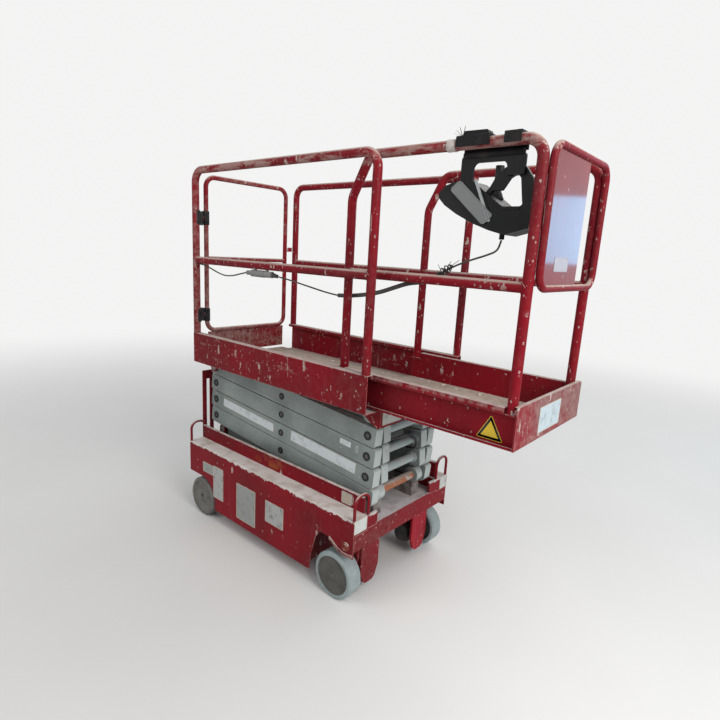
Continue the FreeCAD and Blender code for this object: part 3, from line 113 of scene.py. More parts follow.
class Finish:
    """A material whose nodes all come from one method."""

    def __init__(self, name, roughness=0.5, metallic=0.0, coat=0.0):
        self.material = bpy.data.materials.new(name)
        self.material.use_nodes = True
        self.tree = self.material.node_tree
        self.shader = self.tree.nodes["Principled BSDF"]
        self.set("Roughness", roughness)
        self.set("Metallic", metallic)
        self.set("Coat Weight", coat)
        place = self.make("ShaderNodeTexCoord", {}, {}, output=None)
        self.place = Shade(self, place.outputs["Object"])
        self.facing = Shade(self, place.outputs["Normal"])
        self.x, self.y, self.z = self.split(self.place)
        self.face_x, self.face_y, self.face_z = self.split(self.facing)

    def make(self, kind, settings, inputs, output=0):
        node = self.tree.nodes.new(kind)
        for name, value in settings.items():
            setattr(node, name, value)
        for key, value in inputs.items():
            if isinstance(value, Shade):
                self.tree.links.new(value.socket, node.inputs[key])
            else:
                node.inputs[key].default_value = value
        return node if output is None else Shade(self, node.outputs[output])

    def split(self, vector):
        node = self.make("ShaderNodeSeparateXYZ", {}, {0: vector}, output=None)
        return [Shade(self, socket) for socket in node.outputs]

    def noise(self, scale, detail=3, rough=0.5, stretch=(1, 1, 1), shift=(0, 0, 0)):
        where = self.place
        if stretch != (1, 1, 1) or shift != (0, 0, 0):
            where = self.make("ShaderNodeMapping", {}, {0: self.place, 1: shift, 3: stretch})
        return self.make("ShaderNodeTexNoise", {},
                         {"Vector": where, "Scale": scale, "Detail": detail, "Roughness": rough})

    def spots(self, scale, share, stretch=(1, 1, 1), shift=(0, 0, 0), ragged=0.75):
        """Scattered spots of many sizes with ragged rims, in a share of the cells."""
        warp = self.make("ShaderNodeTexNoise", {}, {"Vector": self.place, "Scale": scale * 2.2}, output=None)
        amount = ragged / scale
        mapped = self.make("ShaderNodeMapping", {}, {0: self.place, 1: shift, 3: stretch})
        where = self.make("ShaderNodeVectorMath", {"operation": "MULTIPLY_ADD"},
                          {0: Shade(self, warp.outputs["Color"]), 1: (amount, amount, amount), 2: mapped})
        node = self.make("ShaderNodeTexVoronoi", {}, {"Vector": where, "Scale": scale}, output=None)
        own = self.split(Shade(self, node.outputs["Color"]))[0]
        reach = Shade(self, node.outputs["Distance"]) * (0.6 * share) + (1 - share * 0.3) - own
        return reach.rise(0.02 * share, -0.02 * share)

    def blend(self, share, first, second):
        """First colour where share is 0, second where it is 1."""
        colours = [value if isinstance(value, Shade) else (*value, 1) for value in (first, second)]
        return self.make("ShaderNodeMix", {"data_type": "RGBA"},
                         {0: share, 6: colours[0], 7: colours[1]}, output=2)

    def set(self, socket, value):
        target = self.shader.inputs[socket]
        if isinstance(value, Shade):
            self.tree.links.new(value.socket, target)
        else:
            target.default_value = value

    def relief(self, height, depth):
        bump = self.make("ShaderNodeBump", {}, {"Strength": 1, "Distance": depth, "Height": height})
        self.set("Normal", bump)

    def colour(self, value):
        self.set("Base Color", value if isinstance(value, Shade) else (*value, 1))


def dress(finish, *pieces):
    """Give pieces or CAD nodes this finish."""
    for piece in pieces:
        mesh = (nodes[piece] if isinstance(piece, str) else piece).data
        mesh.materials.clear()
        mesh.materials.append(finish.material)


def begin(add, name, scale=(1, 1, 1), **options):
    """Add a primitive with nothing else picked, and put its place and size in its mesh."""
    bpy.ops.object.select_all(action="DESELECT")
    add(**options)
    piece = bpy.context.object
    piece.name = piece.data.name = name
    piece.scale = scale
    bpy.ops.object.transform_apply(location=True, rotation=True, scale=True)
    return piece


BACKDROP = (0.9, 0.9, 0.895)
ROOM_LIGHT = 0.6
LAMP_AIM = Vector((0, 0, 0.9))
LAMP_LIGHT = (1.0, 0.985, 0.96)
COOL_LIGHT = (0.22, 0.67, 1.0)

floor_finish = Finish("studio_floor", roughness=0.75)
floor_finish.colour(floor_finish.blend(floor_finish.noise(1.2, 4), (0.6, 0.595, 0.585), (0.66, 0.655, 0.645)))
distance = floor_finish.make("ShaderNodeVectorMath", {"operation": "LENGTH"}, {0: floor_finish.place}, 1)
paths = floor_finish.make("ShaderNodeLightPath", {}, {})
glow = floor_finish.make("ShaderNodeEmission", {}, {"Color": (*BACKDROP, 1)})
lit = Shade(floor_finish, floor_finish.shader.outputs[0])
fading = floor_finish.make("ShaderNodeMixShader", {}, {0: distance.rise(1.8, 8) * paths, 1: lit, 2: glow})
floor_finish.tree.links.new(fading.socket, floor_finish.tree.nodes["Material Output"].inputs["Surface"])
floor = begin(bpy.ops.mesh.primitive_plane_add, "studio_floor", size=60)
dress(floor_finish, floor)

room = bpy.data.worlds.new("studio_room")
bpy.context.scene.world = room
room.use_nodes = True
background = room.node_tree.nodes["Background"]
background.inputs["Color"].default_value = (0.96, 0.98, 1.0, 1)
background.inputs["Strength"].default_value = ROOM_LIGHT
seen = room.node_tree.nodes.new("ShaderNodeBackground")
seen.inputs["Color"].default_value = (*BACKDROP, 1)
ray = room.node_tree.nodes.new("ShaderNodeLightPath")
switch = room.node_tree.nodes.new("ShaderNodeMixShader")
room_links = room.node_tree.links
room_links.new(ray.outputs["Is Camera Ray"], switch.inputs[0])
room_links.new(background.outputs[0], switch.inputs[1])
room_links.new(seen.outputs[0], switch.inputs[2])
room_links.new(switch.outputs[0], room.node_tree.nodes["World Output"].inputs["Surface"])

for name, spot, wide, tall, watts in (
    ("front_panel", (3.8, -0.9, 3.2), 2.4, 2.4, 165),
    ("near_panel", (-1.8, -4.2, 3.4), 3.2, 3.2, 62),
    ("far_panel", (0.3, 3.8, 3.9), 3.0, 3.0, 66),
    ("cool_panel", (2.7, 4.5, 1.98), 1.7, 0.8, 13),
):
    panel = bpy.data.lights.new(name, "AREA")
    panel.shape, panel.size, panel.size_y, panel.energy = "RECTANGLE", wide, tall, watts
    panel.color = COOL_LIGHT if name == "cool_panel" else LAMP_LIGHT
    lamp = bpy.data.objects.new(name, panel)
    lamp.visible_camera = False
    lamp.location = spot
    lamp.rotation_euler = (LAMP_AIM - Vector(spot)).to_track_quat("-Z", "Y").to_euler()
    bpy.context.scene.collection.objects.link(lamp)


# Chassis side shells: folded steel with a skirt, a flat ledge and an upright wall, in crimson.
# Plaster dust lies on the ledge and spills over its outer fold in ragged runs.

CRIMSON = (0.2, 0.006, 0.013)
DARK_CRIMSON = (0.125, 0.004, 0.009)
DUSTY_RED = (0.27, 0.15, 0.135)
PALE_DUST = (0.47, 0.42, 0.39)
WARM_DUST = (0.31, 0.235, 0.195)
PLASTER = (0.6, 0.55, 0.51)
WORN_EDGE = (0.36, 0.19, 0.175)
BARE_RUST = (0.11, 0.04, 0.022)
SCUFFED = (0.3, 0.09, 0.03)
LEDGE_POWDER = (0.58, 0.54, 0.51)
LEDGE_TOP = 0.433
WALL_TOP = 0.520


def crimson_paint(name, film=0.25, lying=0.8, flecks=0.5, smears=0.4, chips=0.4, worn=0, extra=None,
                  rust=None, powder=PALE_DUST, fresh=CRIMSON, shine=0.4, coat=0.03):
    """Crimson paint under dust: film on all, dust lying on tops, plaster flecks, smears and chips.

    worn lightens the rounds between flat faces. extra and rust take the finish and return a mask
    of more lying dust or of rust, for one piece's own places. powder is the dust's palest colour,
    and fresh the paint's brightest.
    """
    paint = Finish(name, roughness=shine)
    paint.set("Specular IOR Level", 0.07)
    cloud = paint.noise(2.3, 4)
    fine = paint.noise(38, 4, 0.6)
    grit = paint.noise(210, 2)
    red = paint.blend(cloud.rise(0.35, 0.7), fresh, DARK_CRIMSON)
    film_share = (cloud * 0.5 + fine * 0.5).rise(0.4, 0.72) * film
    colour = paint.blend(film_share, red, DUSTY_RED)
    rub = paint.noise(30, 3, 0.6, stretch=(1, 1, 0.12)).rise(0.6, 0.72) * film * 0.6
    colour = paint.blend(rub, colour, DUSTY_RED)
    chip = fine.rise(0.7, 0.74) * paint.noise(9, 2).rise(0.5, 0.6) * chips
    colour = paint.blend(chip, colour, BARE_RUST)
    if rust:
        colour = paint.blend(rust(paint, fine, cloud), colour, SCUFFED)
    thrown = paint.noise(5.5, 3).rise(0.42, 0.58)
    large = paint.spots(46, flecks, stretch=(1, 1, 0.4)) * thrown
    small = paint.spots(130, flecks * 0.8, stretch=(1, 1, 0.6), shift=(3, 1, 2)) * 0.75
    hung = paint.noise(26, 3, 0.6, stretch=(1, 1, 0.16)).rise(0.69, 0.72)
    along = paint.noise(30, 3, 0.6, stretch=(0.12, 1, 1)).rise(0.66, 0.7) * paint.face_z.rise(-0.3, 0.5)
    smear = hung.highest(along) * paint.noise(60, 2).rise(0.38, 0.55) * smears
    drip_from = 0.74 - smears * 0.05
    drip = paint.noise(75, 2, 0.5, stretch=(1, 1, 0.05)).rise(drip_from, drip_from + 0.02) * smears
    thick = large.highest(small).highest(smear).highest(drip)
    colour = paint.blend(thick * 0.9, colour, paint.blend(grit, DUSTY_RED, PLASTER))
    if worn:
        flat = paint.face_x.abs().highest(paint.face_y.abs()).highest(paint.face_z.abs())
        rim = flat.rise(0.985, 0.92) * fine.rise(0.3, 0.5) * worn
        colour = paint.blend(rim, colour, WORN_EDGE)
    top = paint.face_z.rise(0.35, 0.8) * (fine * 0.7 + cloud * 0.5).rise(0.3, 0.5) * lying
    if extra:
        top = top.highest(extra(paint, fine, cloud))
    dust = paint.blend(paint.noise(17, 4).rise(0.3, 0.55), WARM_DUST, powder)
    colour = paint.blend(top, colour, paint.blend(grit, dust, powder))
    paint.colour(colour)
    rough = (film_share + top * 0.55 + thick * 0.4 + fine * 0.1).lowest(0.6)
    paint.set("Roughness", rough + shine - 0.05)
    paint.set("Coat Weight", (coat - top * 0.5 - film_share * 0.2).highest(0))
    paint.relief(top * 0.6 + thick * 0.9 + grit * 0.12 - chip * 0.5, 0.0009)
    return paint


def spilled_ledge(paint, fine, cloud):
    """Dust on the ledge, with tongues down the skirt below its fold."""
    tongues = paint.noise(30, 4, 0.7, stretch=(1, 1, 0.3))
    reach = paint.z + tongues * 0.055
    on_skirt = reach.rise(LEDGE_TOP + 0.018, LEDGE_TOP + 0.023) * paint.z.rise(LEDGE_TOP + 0.004, LEDGE_TOP)
    on_ledge = paint.z.between(LEDGE_TOP - 0.004, LEDGE_TOP + 0.004, 0.002) * paint.face_z.rise(0.6, 0.9)
    patches = paint.noise(9, 5, 0.66).rise(0.3, 0.44)
    bare_edge = (paint.y.abs() + tongues * 0.02).rise(0.39, 0.384)
    lip = paint.z.rise(WALL_TOP - 0.003, WALL_TOP) * paint.noise(30, 3).rise(0.36, 0.5)
    return on_ledge * patches * bare_edge * 0.96 + on_skirt * 0.9 + lip * 0.85


def scuffed_wall(paint, fine, cloud):
    """Orange scuffs in the middle of the upright wall, where things are set down on the ledge."""
    on_wall = paint.z.rise(LEDGE_TOP + 0.004, LEDGE_TOP + 0.02) * paint.face_y.abs().rise(0.7, 0.9)
    return on_wall * paint.x.between(-0.44, -0.24, 0.05) * paint.noise(16, 4, 0.6).rise(0.42, 0.6) * 0.7


def fit(piece, body, slot, *finishes):
    """Give a finished piece its materials and its body; slot is not used."""
    for finish in finishes:
        piece.data.materials.append(finish.material)
    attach(piece, body)
    return piece


@contextmanager
def editing(everything=False):
    """Edit mode for the active piece, with all of its mesh picked where everything is asked for."""
    bpy.ops.object.mode_set(mode="EDIT")
    if everything:
        bpy.ops.mesh.select_all(action="SELECT")
    yield
    bpy.ops.object.mode_set(mode="OBJECT")


def broken_edges(source, body, finish, slot="red_paint", width=0.0013):
    """A copy of a CAD piece with its sharp edges broken, as folded and painted steel has them."""
    bpy.ops.object.select_all(action="DESELECT")
    piece = bpy.data.objects.new(source + "_worn", nodes[source].data.copy())
    bpy.context.scene.collection.objects.link(piece)
    bpy.context.view_layer.objects.active = piece
    piece.select_set(True)
    with editing(everything=True):
        bpy.ops.mesh.remove_doubles(threshold=0.00001)
        bpy.ops.mesh.dissolve_limited(angle_limit=math.radians(0.5))
        bpy.ops.mesh.customdata_custom_splitnormals_clear()
    bpy.ops.object.shade_smooth()
    rounding = piece.modifiers.new("broken_edges", "BEVEL")
    rounding.width, rounding.segments = width, 2
    rounding.limit_method, rounding.angle_limit = "ANGLE", math.radians(32)
    rounding.harden_normals = True
    bpy.ops.object.modifier_apply(modifier=rounding.name)
    piece.data.materials.clear()
    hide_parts(source)
    return fit(piece, body, slot, finish)


shell_paint = crimson_paint("shell_paint", film=0.07, lying=0.7, flecks=0.12, smears=0.06, worn=0.75,
                            extra=spilled_ledge, rust=scuffed_wall, powder=LEDGE_POWDER)
broken_edges("side_shell_right", "chassis", shell_paint)
broken_edges("side_shell_left", "chassis", shell_paint)


# Blank plates on the skirts: thin rolled sheet with round corners, a rim and a dirty pale face.
# Stuck flat on the steel, with splashes and rubbed dirt on them.

SKIRT_FACE = -0.380
WALL_FACE = -0.290
END_FACE = 0.6645 + CHASSIS_X
PLATE_THICK = 0.0012


def pick(piece, kind, chosen):
    """In edit mode, select only the edges or faces that a test accepts."""
    bpy.ops.mesh.select_mode(type=kind)
    bpy.ops.mesh.select_all(action="DESELECT")
    mesh = bmesh.from_edit_mesh(piece.data)
    for part in (mesh.edges if kind == "EDGE" else mesh.faces):
        if chosen(part):
            part.select_set(True)
    bmesh.update_edit_mesh(piece.data)


def finish_picked(piece, slot):
    """The picked faces take a material of the piece's own list."""
    mesh = bmesh.from_edit_mesh(piece.data)
    for face in mesh.faces:
        if face.select:
            face.material_index = slot
    bmesh.update_edit_mesh(piece.data)


def round_corners(sheet, corner):
    """Round a thin sheet's corners and pick its upper face."""
    pick(sheet, "EDGE", lambda edge: abs(edge.verts[0].co.z - edge.verts[1].co.z) > PLATE_THICK / 2)
    bpy.ops.mesh.bevel(offset=corner, segments=4, affect="EDGES")
    pick(sheet, "FACE", lambda face: face.normal.z > 0.9)


def hang(sheet, middle, slope=0, turn=0):
    """Stand a flat sheet up and put it in its place."""
    sheet.rotation_euler, sheet.location = (math.radians(90), slope, turn), middle
    bpy.ops.object.transform_apply(location=True, rotation=True, scale=True)


def label_finish(name, colour, grime=0.4):
    """Faded label sheet with blotches of dirt and fine scratches."""
    sheet = Finish(name, roughness=0.42)
    blotch = sheet.noise(26, 4, 0.62)
    scratch = sheet.noise(60, 2, stretch=(1, 1, 9)).rise(0.68, 0.74)
    dirty = sheet.blend(blotch.rise(0.5, 0.68) * grime, colour, (0.09, 0.075, 0.07))
    sheet.colour(sheet.blend(scratch * 0.35, dirty, PALE_DUST))
    sheet.set("Roughness", blotch * 0.3 + 0.32)
    sheet.relief(blotch, 0.0003)
    return sheet


def blank_plate(name, body, wide, tall, middle, finishes, facing="side", rim=0.004, slope=0.0,
                corner=0.006):
    """A thin plate with round corners and a rim line. slope turns it about the machine's width."""
    plate = begin(bpy.ops.mesh.primitive_cube_add, name, size=1, scale=(wide, tall, PLATE_THICK))
    with editing():
        round_corners(plate, corner)
        bpy.ops.mesh.inset(thickness=rim)
        finish_picked(plate, 1)
    hang(plate, middle, slope, 0 if facing == "side" else math.radians(90))
    return fit(plate, body, "grey_plastic", *finishes)


beige_rim = label_finish("beige_rim", (0.42, 0.36, 0.29), 0.2)
grey_face = label_finish("grey_face", (0.25, 0.26, 0.25), 0.3)
pale_face = label_finish("pale_face", (0.34, 0.34, 0.335), 0.7)
white_face = label_finish("white_face", (0.5, 0.52, 0.5), 0.35)
for name, start, end, low, high, face in (
    ("small", -0.525, -0.421, 0.285, 0.345, grey_face), ("tall", -0.42, -0.323, 0.157, 0.352, pale_face),
    ("large", -0.197, -0.031, 0.115, 0.323, grey_face), ("middle", 0.052, 0.195, 0.195, 0.315, pale_face),
):
    place = ((start + end) / 2 + CHASSIS_X, SKIRT_FACE, (low + high) / 2)
    blank_plate("skirt_plate_" + name, "chassis", end - start, high - low, place, (beige_rim, face))
blank_plate("wall_plate", "chassis", 0.063, 0.057, (0.5315 + CHASSIS_X, WALL_FACE, 0.4715),
            (white_face, beige_rim), rim=0.003)
blank_plate("end_plate_right", "chassis", 0.086, 0.068, (END_FACE, -0.336, 0.405),
            (beige_rim, white_face), facing="front", rim=0.003)
blank_plate("end_plate_left", "chassis", 0.062, 0.07, (END_FACE, 0.343, 0.4),
            (beige_rim, white_face), facing="front", rim=0.003)


# Front arch: a rusty rolled lip from the arch to the front end, and a round bolt head above it.
# Rubbed bare and pink by what it brushes past.

LIP_POINTS = ((0.517, 0.302), (0.545, 0.285), (0.572, 0.268), (0.606, 0.26), (0.64, 0.26), (0.661, 0.267))
LIP_DEEP = 0.009
ARCH_FACE = 0.380
BOLT_RADIUS = 0.021
BOLT_RUN, BOLT_HEIGHT = 0.622, 0.3


def push(move):
    """Extrude what is picked."""
    bpy.ops.mesh.extrude_region_move(TRANSFORM_OT_translate={"value": move})


def step_faces(piece, chosen, *steps, smooth=0):
    """Inset the chosen faces and move them, step by step; a step may also give them a material."""
    with editing():
        pick(piece, "FACE", chosen)
        for inset, move, *slot in steps:
            bpy.ops.mesh.inset(thickness=inset)
            if slot:
                finish_picked(piece, slot[0])
            push(move)
    if smooth:
        bpy.ops.object.shade_smooth_by_angle(angle=math.radians(smooth))


def side_disc(name, sides, radius, thick, place, sign, *steps):
    """A disc on the machine's right or left face, stepped inwards or outwards on its outer side."""
    disc = begin(bpy.ops.mesh.primitive_cylinder_add, name, vertices=sides, radius=radius, depth=thick,
                 location=place, rotation=(math.radians(-90 * sign), 0, 0))
    moves = [(inset, (0, outwards * sign, 0), *slot) for inset, outwards, *slot in steps]
    step_faces(disc, lambda face: face.normal.y * sign > 0.9, *moves, smooth=30)
    return disc


for side, sign in (("right", -1), ("left", 1)):
    lip = begin(bpy.ops.mesh.primitive_cube_add, "arch_lip_" + side, size=1, scale=(0.002, LIP_DEEP, 0.014),
                location=(LIP_POINTS[0][0] + CHASSIS_X, ARCH_FACE * sign, LIP_POINTS[0][1]))
    with editing():
        pick(lip, "FACE", lambda face: face.normal.x > 0.9)
        for (here_x, here_z), (next_x, next_z) in zip(LIP_POINTS, LIP_POINTS[1:]):
            push((next_x - here_x, 0, next_z - here_z))
    soft = lip.modifiers.new("rolled", "BEVEL")
    soft.width, soft.segments, soft.limit_method = 0.0025, 3, "ANGLE"
    bpy.ops.object.modifier_apply(modifier=soft.name)
    bpy.ops.object.shade_smooth()
    rubbed = crimson_paint("lip_paint_" + side, film=1.6, lying=0.95, flecks=0.9, smears=0.9, chips=1)
    fit(lip, "chassis", "red_paint", rubbed)
    place = (BOLT_RUN + CHASSIS_X, (ARCH_FACE + 0.002) * sign, BOLT_HEIGHT)
    bolt = side_disc("arch_bolt_" + side, 32, BOLT_RADIUS, 0.01, place, sign, (0.005, 0.004), (0.004, -0.003))
    rusty = crimson_paint("bolt_paint_" + side, film=0.3, flecks=0.1,
                          rust=lambda paint, fine, cloud: fine * 0.4)
    fit(bolt, "chassis", "red_paint", rusty)


# Chassis frame: welded plates and beams between the shells, with an open trough for the stack.
# The trough floor and the front cap are grey with trodden dust. Ladder, loops and base hinge have
# a cleaner coat, and the knuckles a fresher red.

TROUGH_FLOOR = 0.370


def trodden_floor(paint, fine, cloud):
    """Grey dust on the trough floor and on the flat faces above it."""
    on_floor = paint.face_z.rise(0.6, 0.9) * paint.z.rise(TROUGH_FLOOR - 0.01, TROUGH_FLOOR)
    return on_floor * (fine * 0.4 + cloud * 0.6).rise(0.2, 0.4) * 0.97


frame_paint = crimson_paint("frame_paint", film=0.3, lying=0.7, flecks=0.2, smears=0.15, chips=0.7,
                            worn=0.6, extra=trodden_floor, powder=(0.6, 0.58, 0.59))
fitting_paint = crimson_paint("fitting_paint", film=0.14, lying=0.7, flecks=0.2, smears=0.1, chips=0.7)
broken_edges("chassis_frame", "chassis", frame_paint)
knuckle_paint = crimson_paint("knuckle_paint", film=0.2, lying=0.7, flecks=0.15, smears=0.2, chips=0.5,
                              fresh=(0.3, 0.009, 0.021))
dress(fitting_paint, "tie_down_loops", "ladder", "base_hinge")
dress(knuckle_paint, "knuckle_left", "knuckle_right")

trodden = Finish("trodden_dust", roughness=0.85)
caking = trodden.noise(26, 5, 0.6)
trodden.colour(trodden.blend(caking.rise(0.35, 0.65), (0.25, 0.225, 0.215), (0.13, 0.1, 0.095)))
trodden.relief(caking, 0.0015)
dress(trodden, "roller_tracks")


# Battery blocks on the belly plate, and the slide's glide pads: black moulded cases and blocks.
# Matt plastic, grey with road dust.

def matt_plastic(name, colour, dust=0.3, roughness=0.55, grain=0.0003):
    """Moulded plastic with fine grain, and dust where it faces up."""
    plastic = Finish(name, roughness=roughness)
    cloud = plastic.noise(6, 4)
    grit = plastic.noise(420, 2)
    film = cloud.rise(0.35, 0.75) * dust
    lying = plastic.face_z.rise(0.4, 0.95) * plastic.noise(28, 4).rise(0.4, 0.6) * dust * 1.6
    plastic.colour(plastic.blend((film + lying).lowest(0.85), colour, PALE_DUST))
    plastic.set("Roughness", (film * 0.4 + grit * 0.12 + roughness - 0.05).lowest(0.95))
    plastic.relief(grit, grain)
    return plastic


case_plastic = matt_plastic("case_plastic", (0.03, 0.03, 0.032), dust=0.3)
dress(case_plastic, "battery_blocks", "glide_pads")


# Wheels: solid pale non-marking rubber pressed on dished steel discs.
# Grey-brown dust fills the discs, and the treads are scuffed.

WHEELS = (("front_right", 0.544, -0.34), ("front_left", 0.544, 0.34),
          ("rear_right", -0.538, -0.34), ("rear_left", -0.538, 0.34))
FRONT_RUBBER = ((0.27, 0.32, 0.33), (0.2, 0.23, 0.23))
REAR_RUBBER = ((0.16, 0.155, 0.14), (0.1, 0.095, 0.085))
FRONT_CAKE = ((0.085, 0.083, 0.075), (0.05, 0.048, 0.043))
REAR_CAKE = ((0.15, 0.145, 0.13), (0.085, 0.08, 0.07))

for corner, along, across in WHEELS:
    rubber = Finish("rubber_" + corner, roughness=0.8)
    blotch = rubber.noise(9, 5, 0.6, shift=(along, across, 0))
    nick = rubber.noise(90, 3, 0.6)
    pale = rubber.blend(blotch.rise(0.35, 0.65), *(FRONT_RUBBER if along > 0 else REAR_RUBBER))
    pale = rubber.blend(nick.rise(0.64, 0.7) * 0.5, pale, (0.2, 0.18, 0.16))
    rubber.colour(pale)
    rubber.relief(nick * 0.5 + blotch * 0.5, 0.0012)
    dress(rubber, "tyre_" + corner)
    disc = Finish("disc_" + corner, roughness=0.75)
    caked = disc.noise(16, 5, 0.6, shift=(along, across, 0))
    grime = disc.blend(caked.rise(0.3, 0.7), *(FRONT_CAKE if along > 0 else REAR_CAKE))
    disc.colour(disc.blend(disc.noise(140, 2).rise(0.62, 0.75) * 0.4, grime, (0.2, 0.19, 0.17)))
    disc.relief(caked + disc.noise(160, 2) * 0.3, 0.0012)
    dress(disc, "rim_" + corner)


# Hub plugs: pressed steel caps in the wheels' bores, with a bolt in the middle.
# As dusty as the discs round them.

AXLE_HEIGHT = 0.115
PLUG_FACE = 0.3755
PLUG_RADIUS = 0.0178

hub_grime = Finish("hub_grime", roughness=0.7)
crust = hub_grime.noise(60, 4, 0.6)
hub_grime.colour(hub_grime.blend(crust.rise(0.35, 0.65), (0.14, 0.13, 0.115), (0.05, 0.047, 0.042)))
hub_grime.relief(crust, 0.0008)

for corner, along, across in WHEELS:
    out = 1 if across > 0 else -1
    place = (along + CHASSIS_X, PLUG_FACE * out, AXLE_HEIGHT)
    plug = side_disc("hub_plug_" + corner, 36, PLUG_RADIUS, 0.005, place, out,
                     (0.003, -0.002), (0.007, 0.003))
    fit(plug, "wheel_" + corner, "rim_dusty", hub_grime)


# Rear axle, wheel motors, tie rod, gate hinges and lift barrel: black painted or blackened steel.
# Slightly glossy, with dust on top.

def dark_steel(name, colour=(0.028, 0.028, 0.03), dust=0.35, roughness=0.42):
    """Blackened steel with dust on its tops and a thin film elsewhere."""
    steel = Finish(name, roughness=roughness, metallic=0.3)
    cloud = steel.noise(14, 4)
    grit = steel.noise(260, 2)
    lying = steel.face_z.rise(0.3, 0.95) * cloud.rise(0.35, 0.6) * dust
    film = cloud.rise(0.45, 0.8) * dust * 0.5
    steel.colour(steel.blend((lying + film).lowest(0.9), colour, WARM_DUST))
    steel.set("Roughness", (lying * 0.5 + film * 0.4 + grit * 0.15 + roughness - 0.05).lowest(0.9))
    steel.relief(grit * 0.4 + lying, 0.0005)
    return steel


black_steel = dark_steel("black_steel")
dress(black_steel, "rear_axle", "motor_left", "motor_right", "tie_rod", "gate_hinges", "lift_barrel")


# Scissor arms: four levels of rectangular tube in grey-green, joined by pins in recessed bores.
# Cross tubes between them are lighter; the lowest one is orange with rubbed-in dirt.

ARM_GREEN = (0.23, 0.262, 0.25)
ARM_SHADOW = (0.165, 0.19, 0.183)
ARM_EDGE = (0.37, 0.42, 0.41)
ARM_END_LIT = (0.43, 0.475, 0.465)
TUBE_GREY = (0.36, 0.425, 0.425)
ARM_POWDER = (0.42, 0.42, 0.4)
TUBE_ORANGE = (0.36, 0.13, 0.06)
INSIDE_ARMS = 0.127


def arm_paint(name, tube_colour):
    """Grey-green on the arms, lighter at their worn edges, with a painted highlight on their front-facing
    ends, and another colour on the cross tubes.
    """
    paint = Finish(name, roughness=0.5)
    paint.set("Specular IOR Level", 0.25)
    cloud = paint.noise(5, 4)
    streak = paint.noise(18, 3, 0.6, stretch=(0.15, 1, 1))
    grit = paint.noise(240, 2)
    colour = paint.blend(cloud.rise(0.35, 0.7), ARM_GREEN, ARM_SHADOW)
    colour = paint.blend(streak.rise(0.55, 0.8) * 0.3, colour, PALE_DUST)
    tube = paint.y.abs().rise(INSIDE_ARMS + 0.001, INSIDE_ARMS - 0.001)
    metal = paint.blend(paint.noise(20, 4).rise(0.5, 0.7), tube_colour, ARM_POWDER)
    flat = paint.face_x.abs().highest(paint.face_y.abs()).highest(paint.face_z.abs())
    colour = paint.blend(flat.rise(0.985, 0.92) * 0.85, colour, ARM_EDGE)
    # Ends facing the front are painted pale: worn paint plus a painted highlight where the front light falls.
    colour = paint.blend(paint.face_x.rise(0.9, 0.99) * 0.95, colour, ARM_END_LIT)
    colour = paint.blend(tube, colour, metal)
    speck = paint.spots(170, 0.12)
    colour = paint.blend(speck * 0.6, colour, PLASTER)
    lying = paint.face_z.rise(0.5, 0.95) * paint.noise(22, 4).rise(0.35, 0.55) * 0.8
    colour = paint.blend(lying, colour, ARM_POWDER)
    paint.colour(colour)
    paint.set("Roughness", (lying * 0.4 + cloud * 0.2 + 0.38).lowest(0.9))
    paint.relief(lying + grit * 0.2 + speck, 0.0007)
    return paint


PIN_RUN = 0.5949
LEVEL_STEP = 0.1
STACK_LOW = 0.434
ARM_DROP = 0.05
ARM_FACE = 0.240
ARM_SLOPE = math.atan2(ARM_DROP, PIN_RUN)

for level in (1, 2, 3, 4):
    inner_paint = arm_paint("inner_arm_paint_%d" % level, TUBE_GREY)
    outer_paint = arm_paint("outer_arm_paint_%d" % level, TUBE_ORANGE if level == 1 else TUBE_GREY)
    broken_edges("inner_arms_%d" % level, "inner_%d" % level, inner_paint, "arm_grey", 0.002)
    broken_edges("outer_arms_%d" % level, "outer_%d" % level, outer_paint, "arm_grey", 0.002)


# Pin caps: near-black washers with a recessed pin end, on the outer faces of the outer arms.
# Their black is painted shade, standing in for the recessed pin bores. The middle ones are a little smaller.

PIN_RADIUS = 0.021
MIDDLE_PIN_RADIUS = 0.018


def joined(pieces, name):
    """Join pieces into the first of them."""
    bpy.ops.object.select_all(action="DESELECT")
    for piece in pieces:
        piece.select_set(True)
    bpy.context.view_layer.objects.active = pieces[0]
    bpy.ops.object.join()
    pieces[0].name = pieces[0].data.name = name
    return pieces[0]


# Near-black for the caps is painted shade of the pin bores; the pin end is lighter steel.
pin_shade_black = dark_steel("pin_shade_black", (0.012, 0.012, 0.013), dust=0.25)
pin_end = dark_steel("pin_end", (0.07, 0.075, 0.075), dust=0.4)

for level in (1, 2, 3, 4):
    caps = []
    middle = STACK_LOW + LEVEL_STEP * level
    for run, radius in ((-PIN_RUN, PIN_RADIUS), (0, MIDDLE_PIN_RADIUS), (PIN_RUN, PIN_RADIUS)):
        for sign in (-1, 1):
            place = (CHASSIS_X + run, (ARM_FACE + 0.001) * sign, middle - ARM_DROP * run / PIN_RUN)
            cap = side_disc("pin_cap", 32, radius, 0.003, place, sign, (0.004, -0.002), (0.006, 0.0015, 1))
            cap.data.materials.append(pin_shade_black.material)
            cap.data.materials.append(pin_end.material)
            caps.append(cap)
    fit(joined(caps, "pin_caps_%d" % level), "outer_%d" % level, "black_steel")


# Blank strips on the near arms: long white bands on the second level, small tags on the third.
# They follow the arms' slope and ride with them.

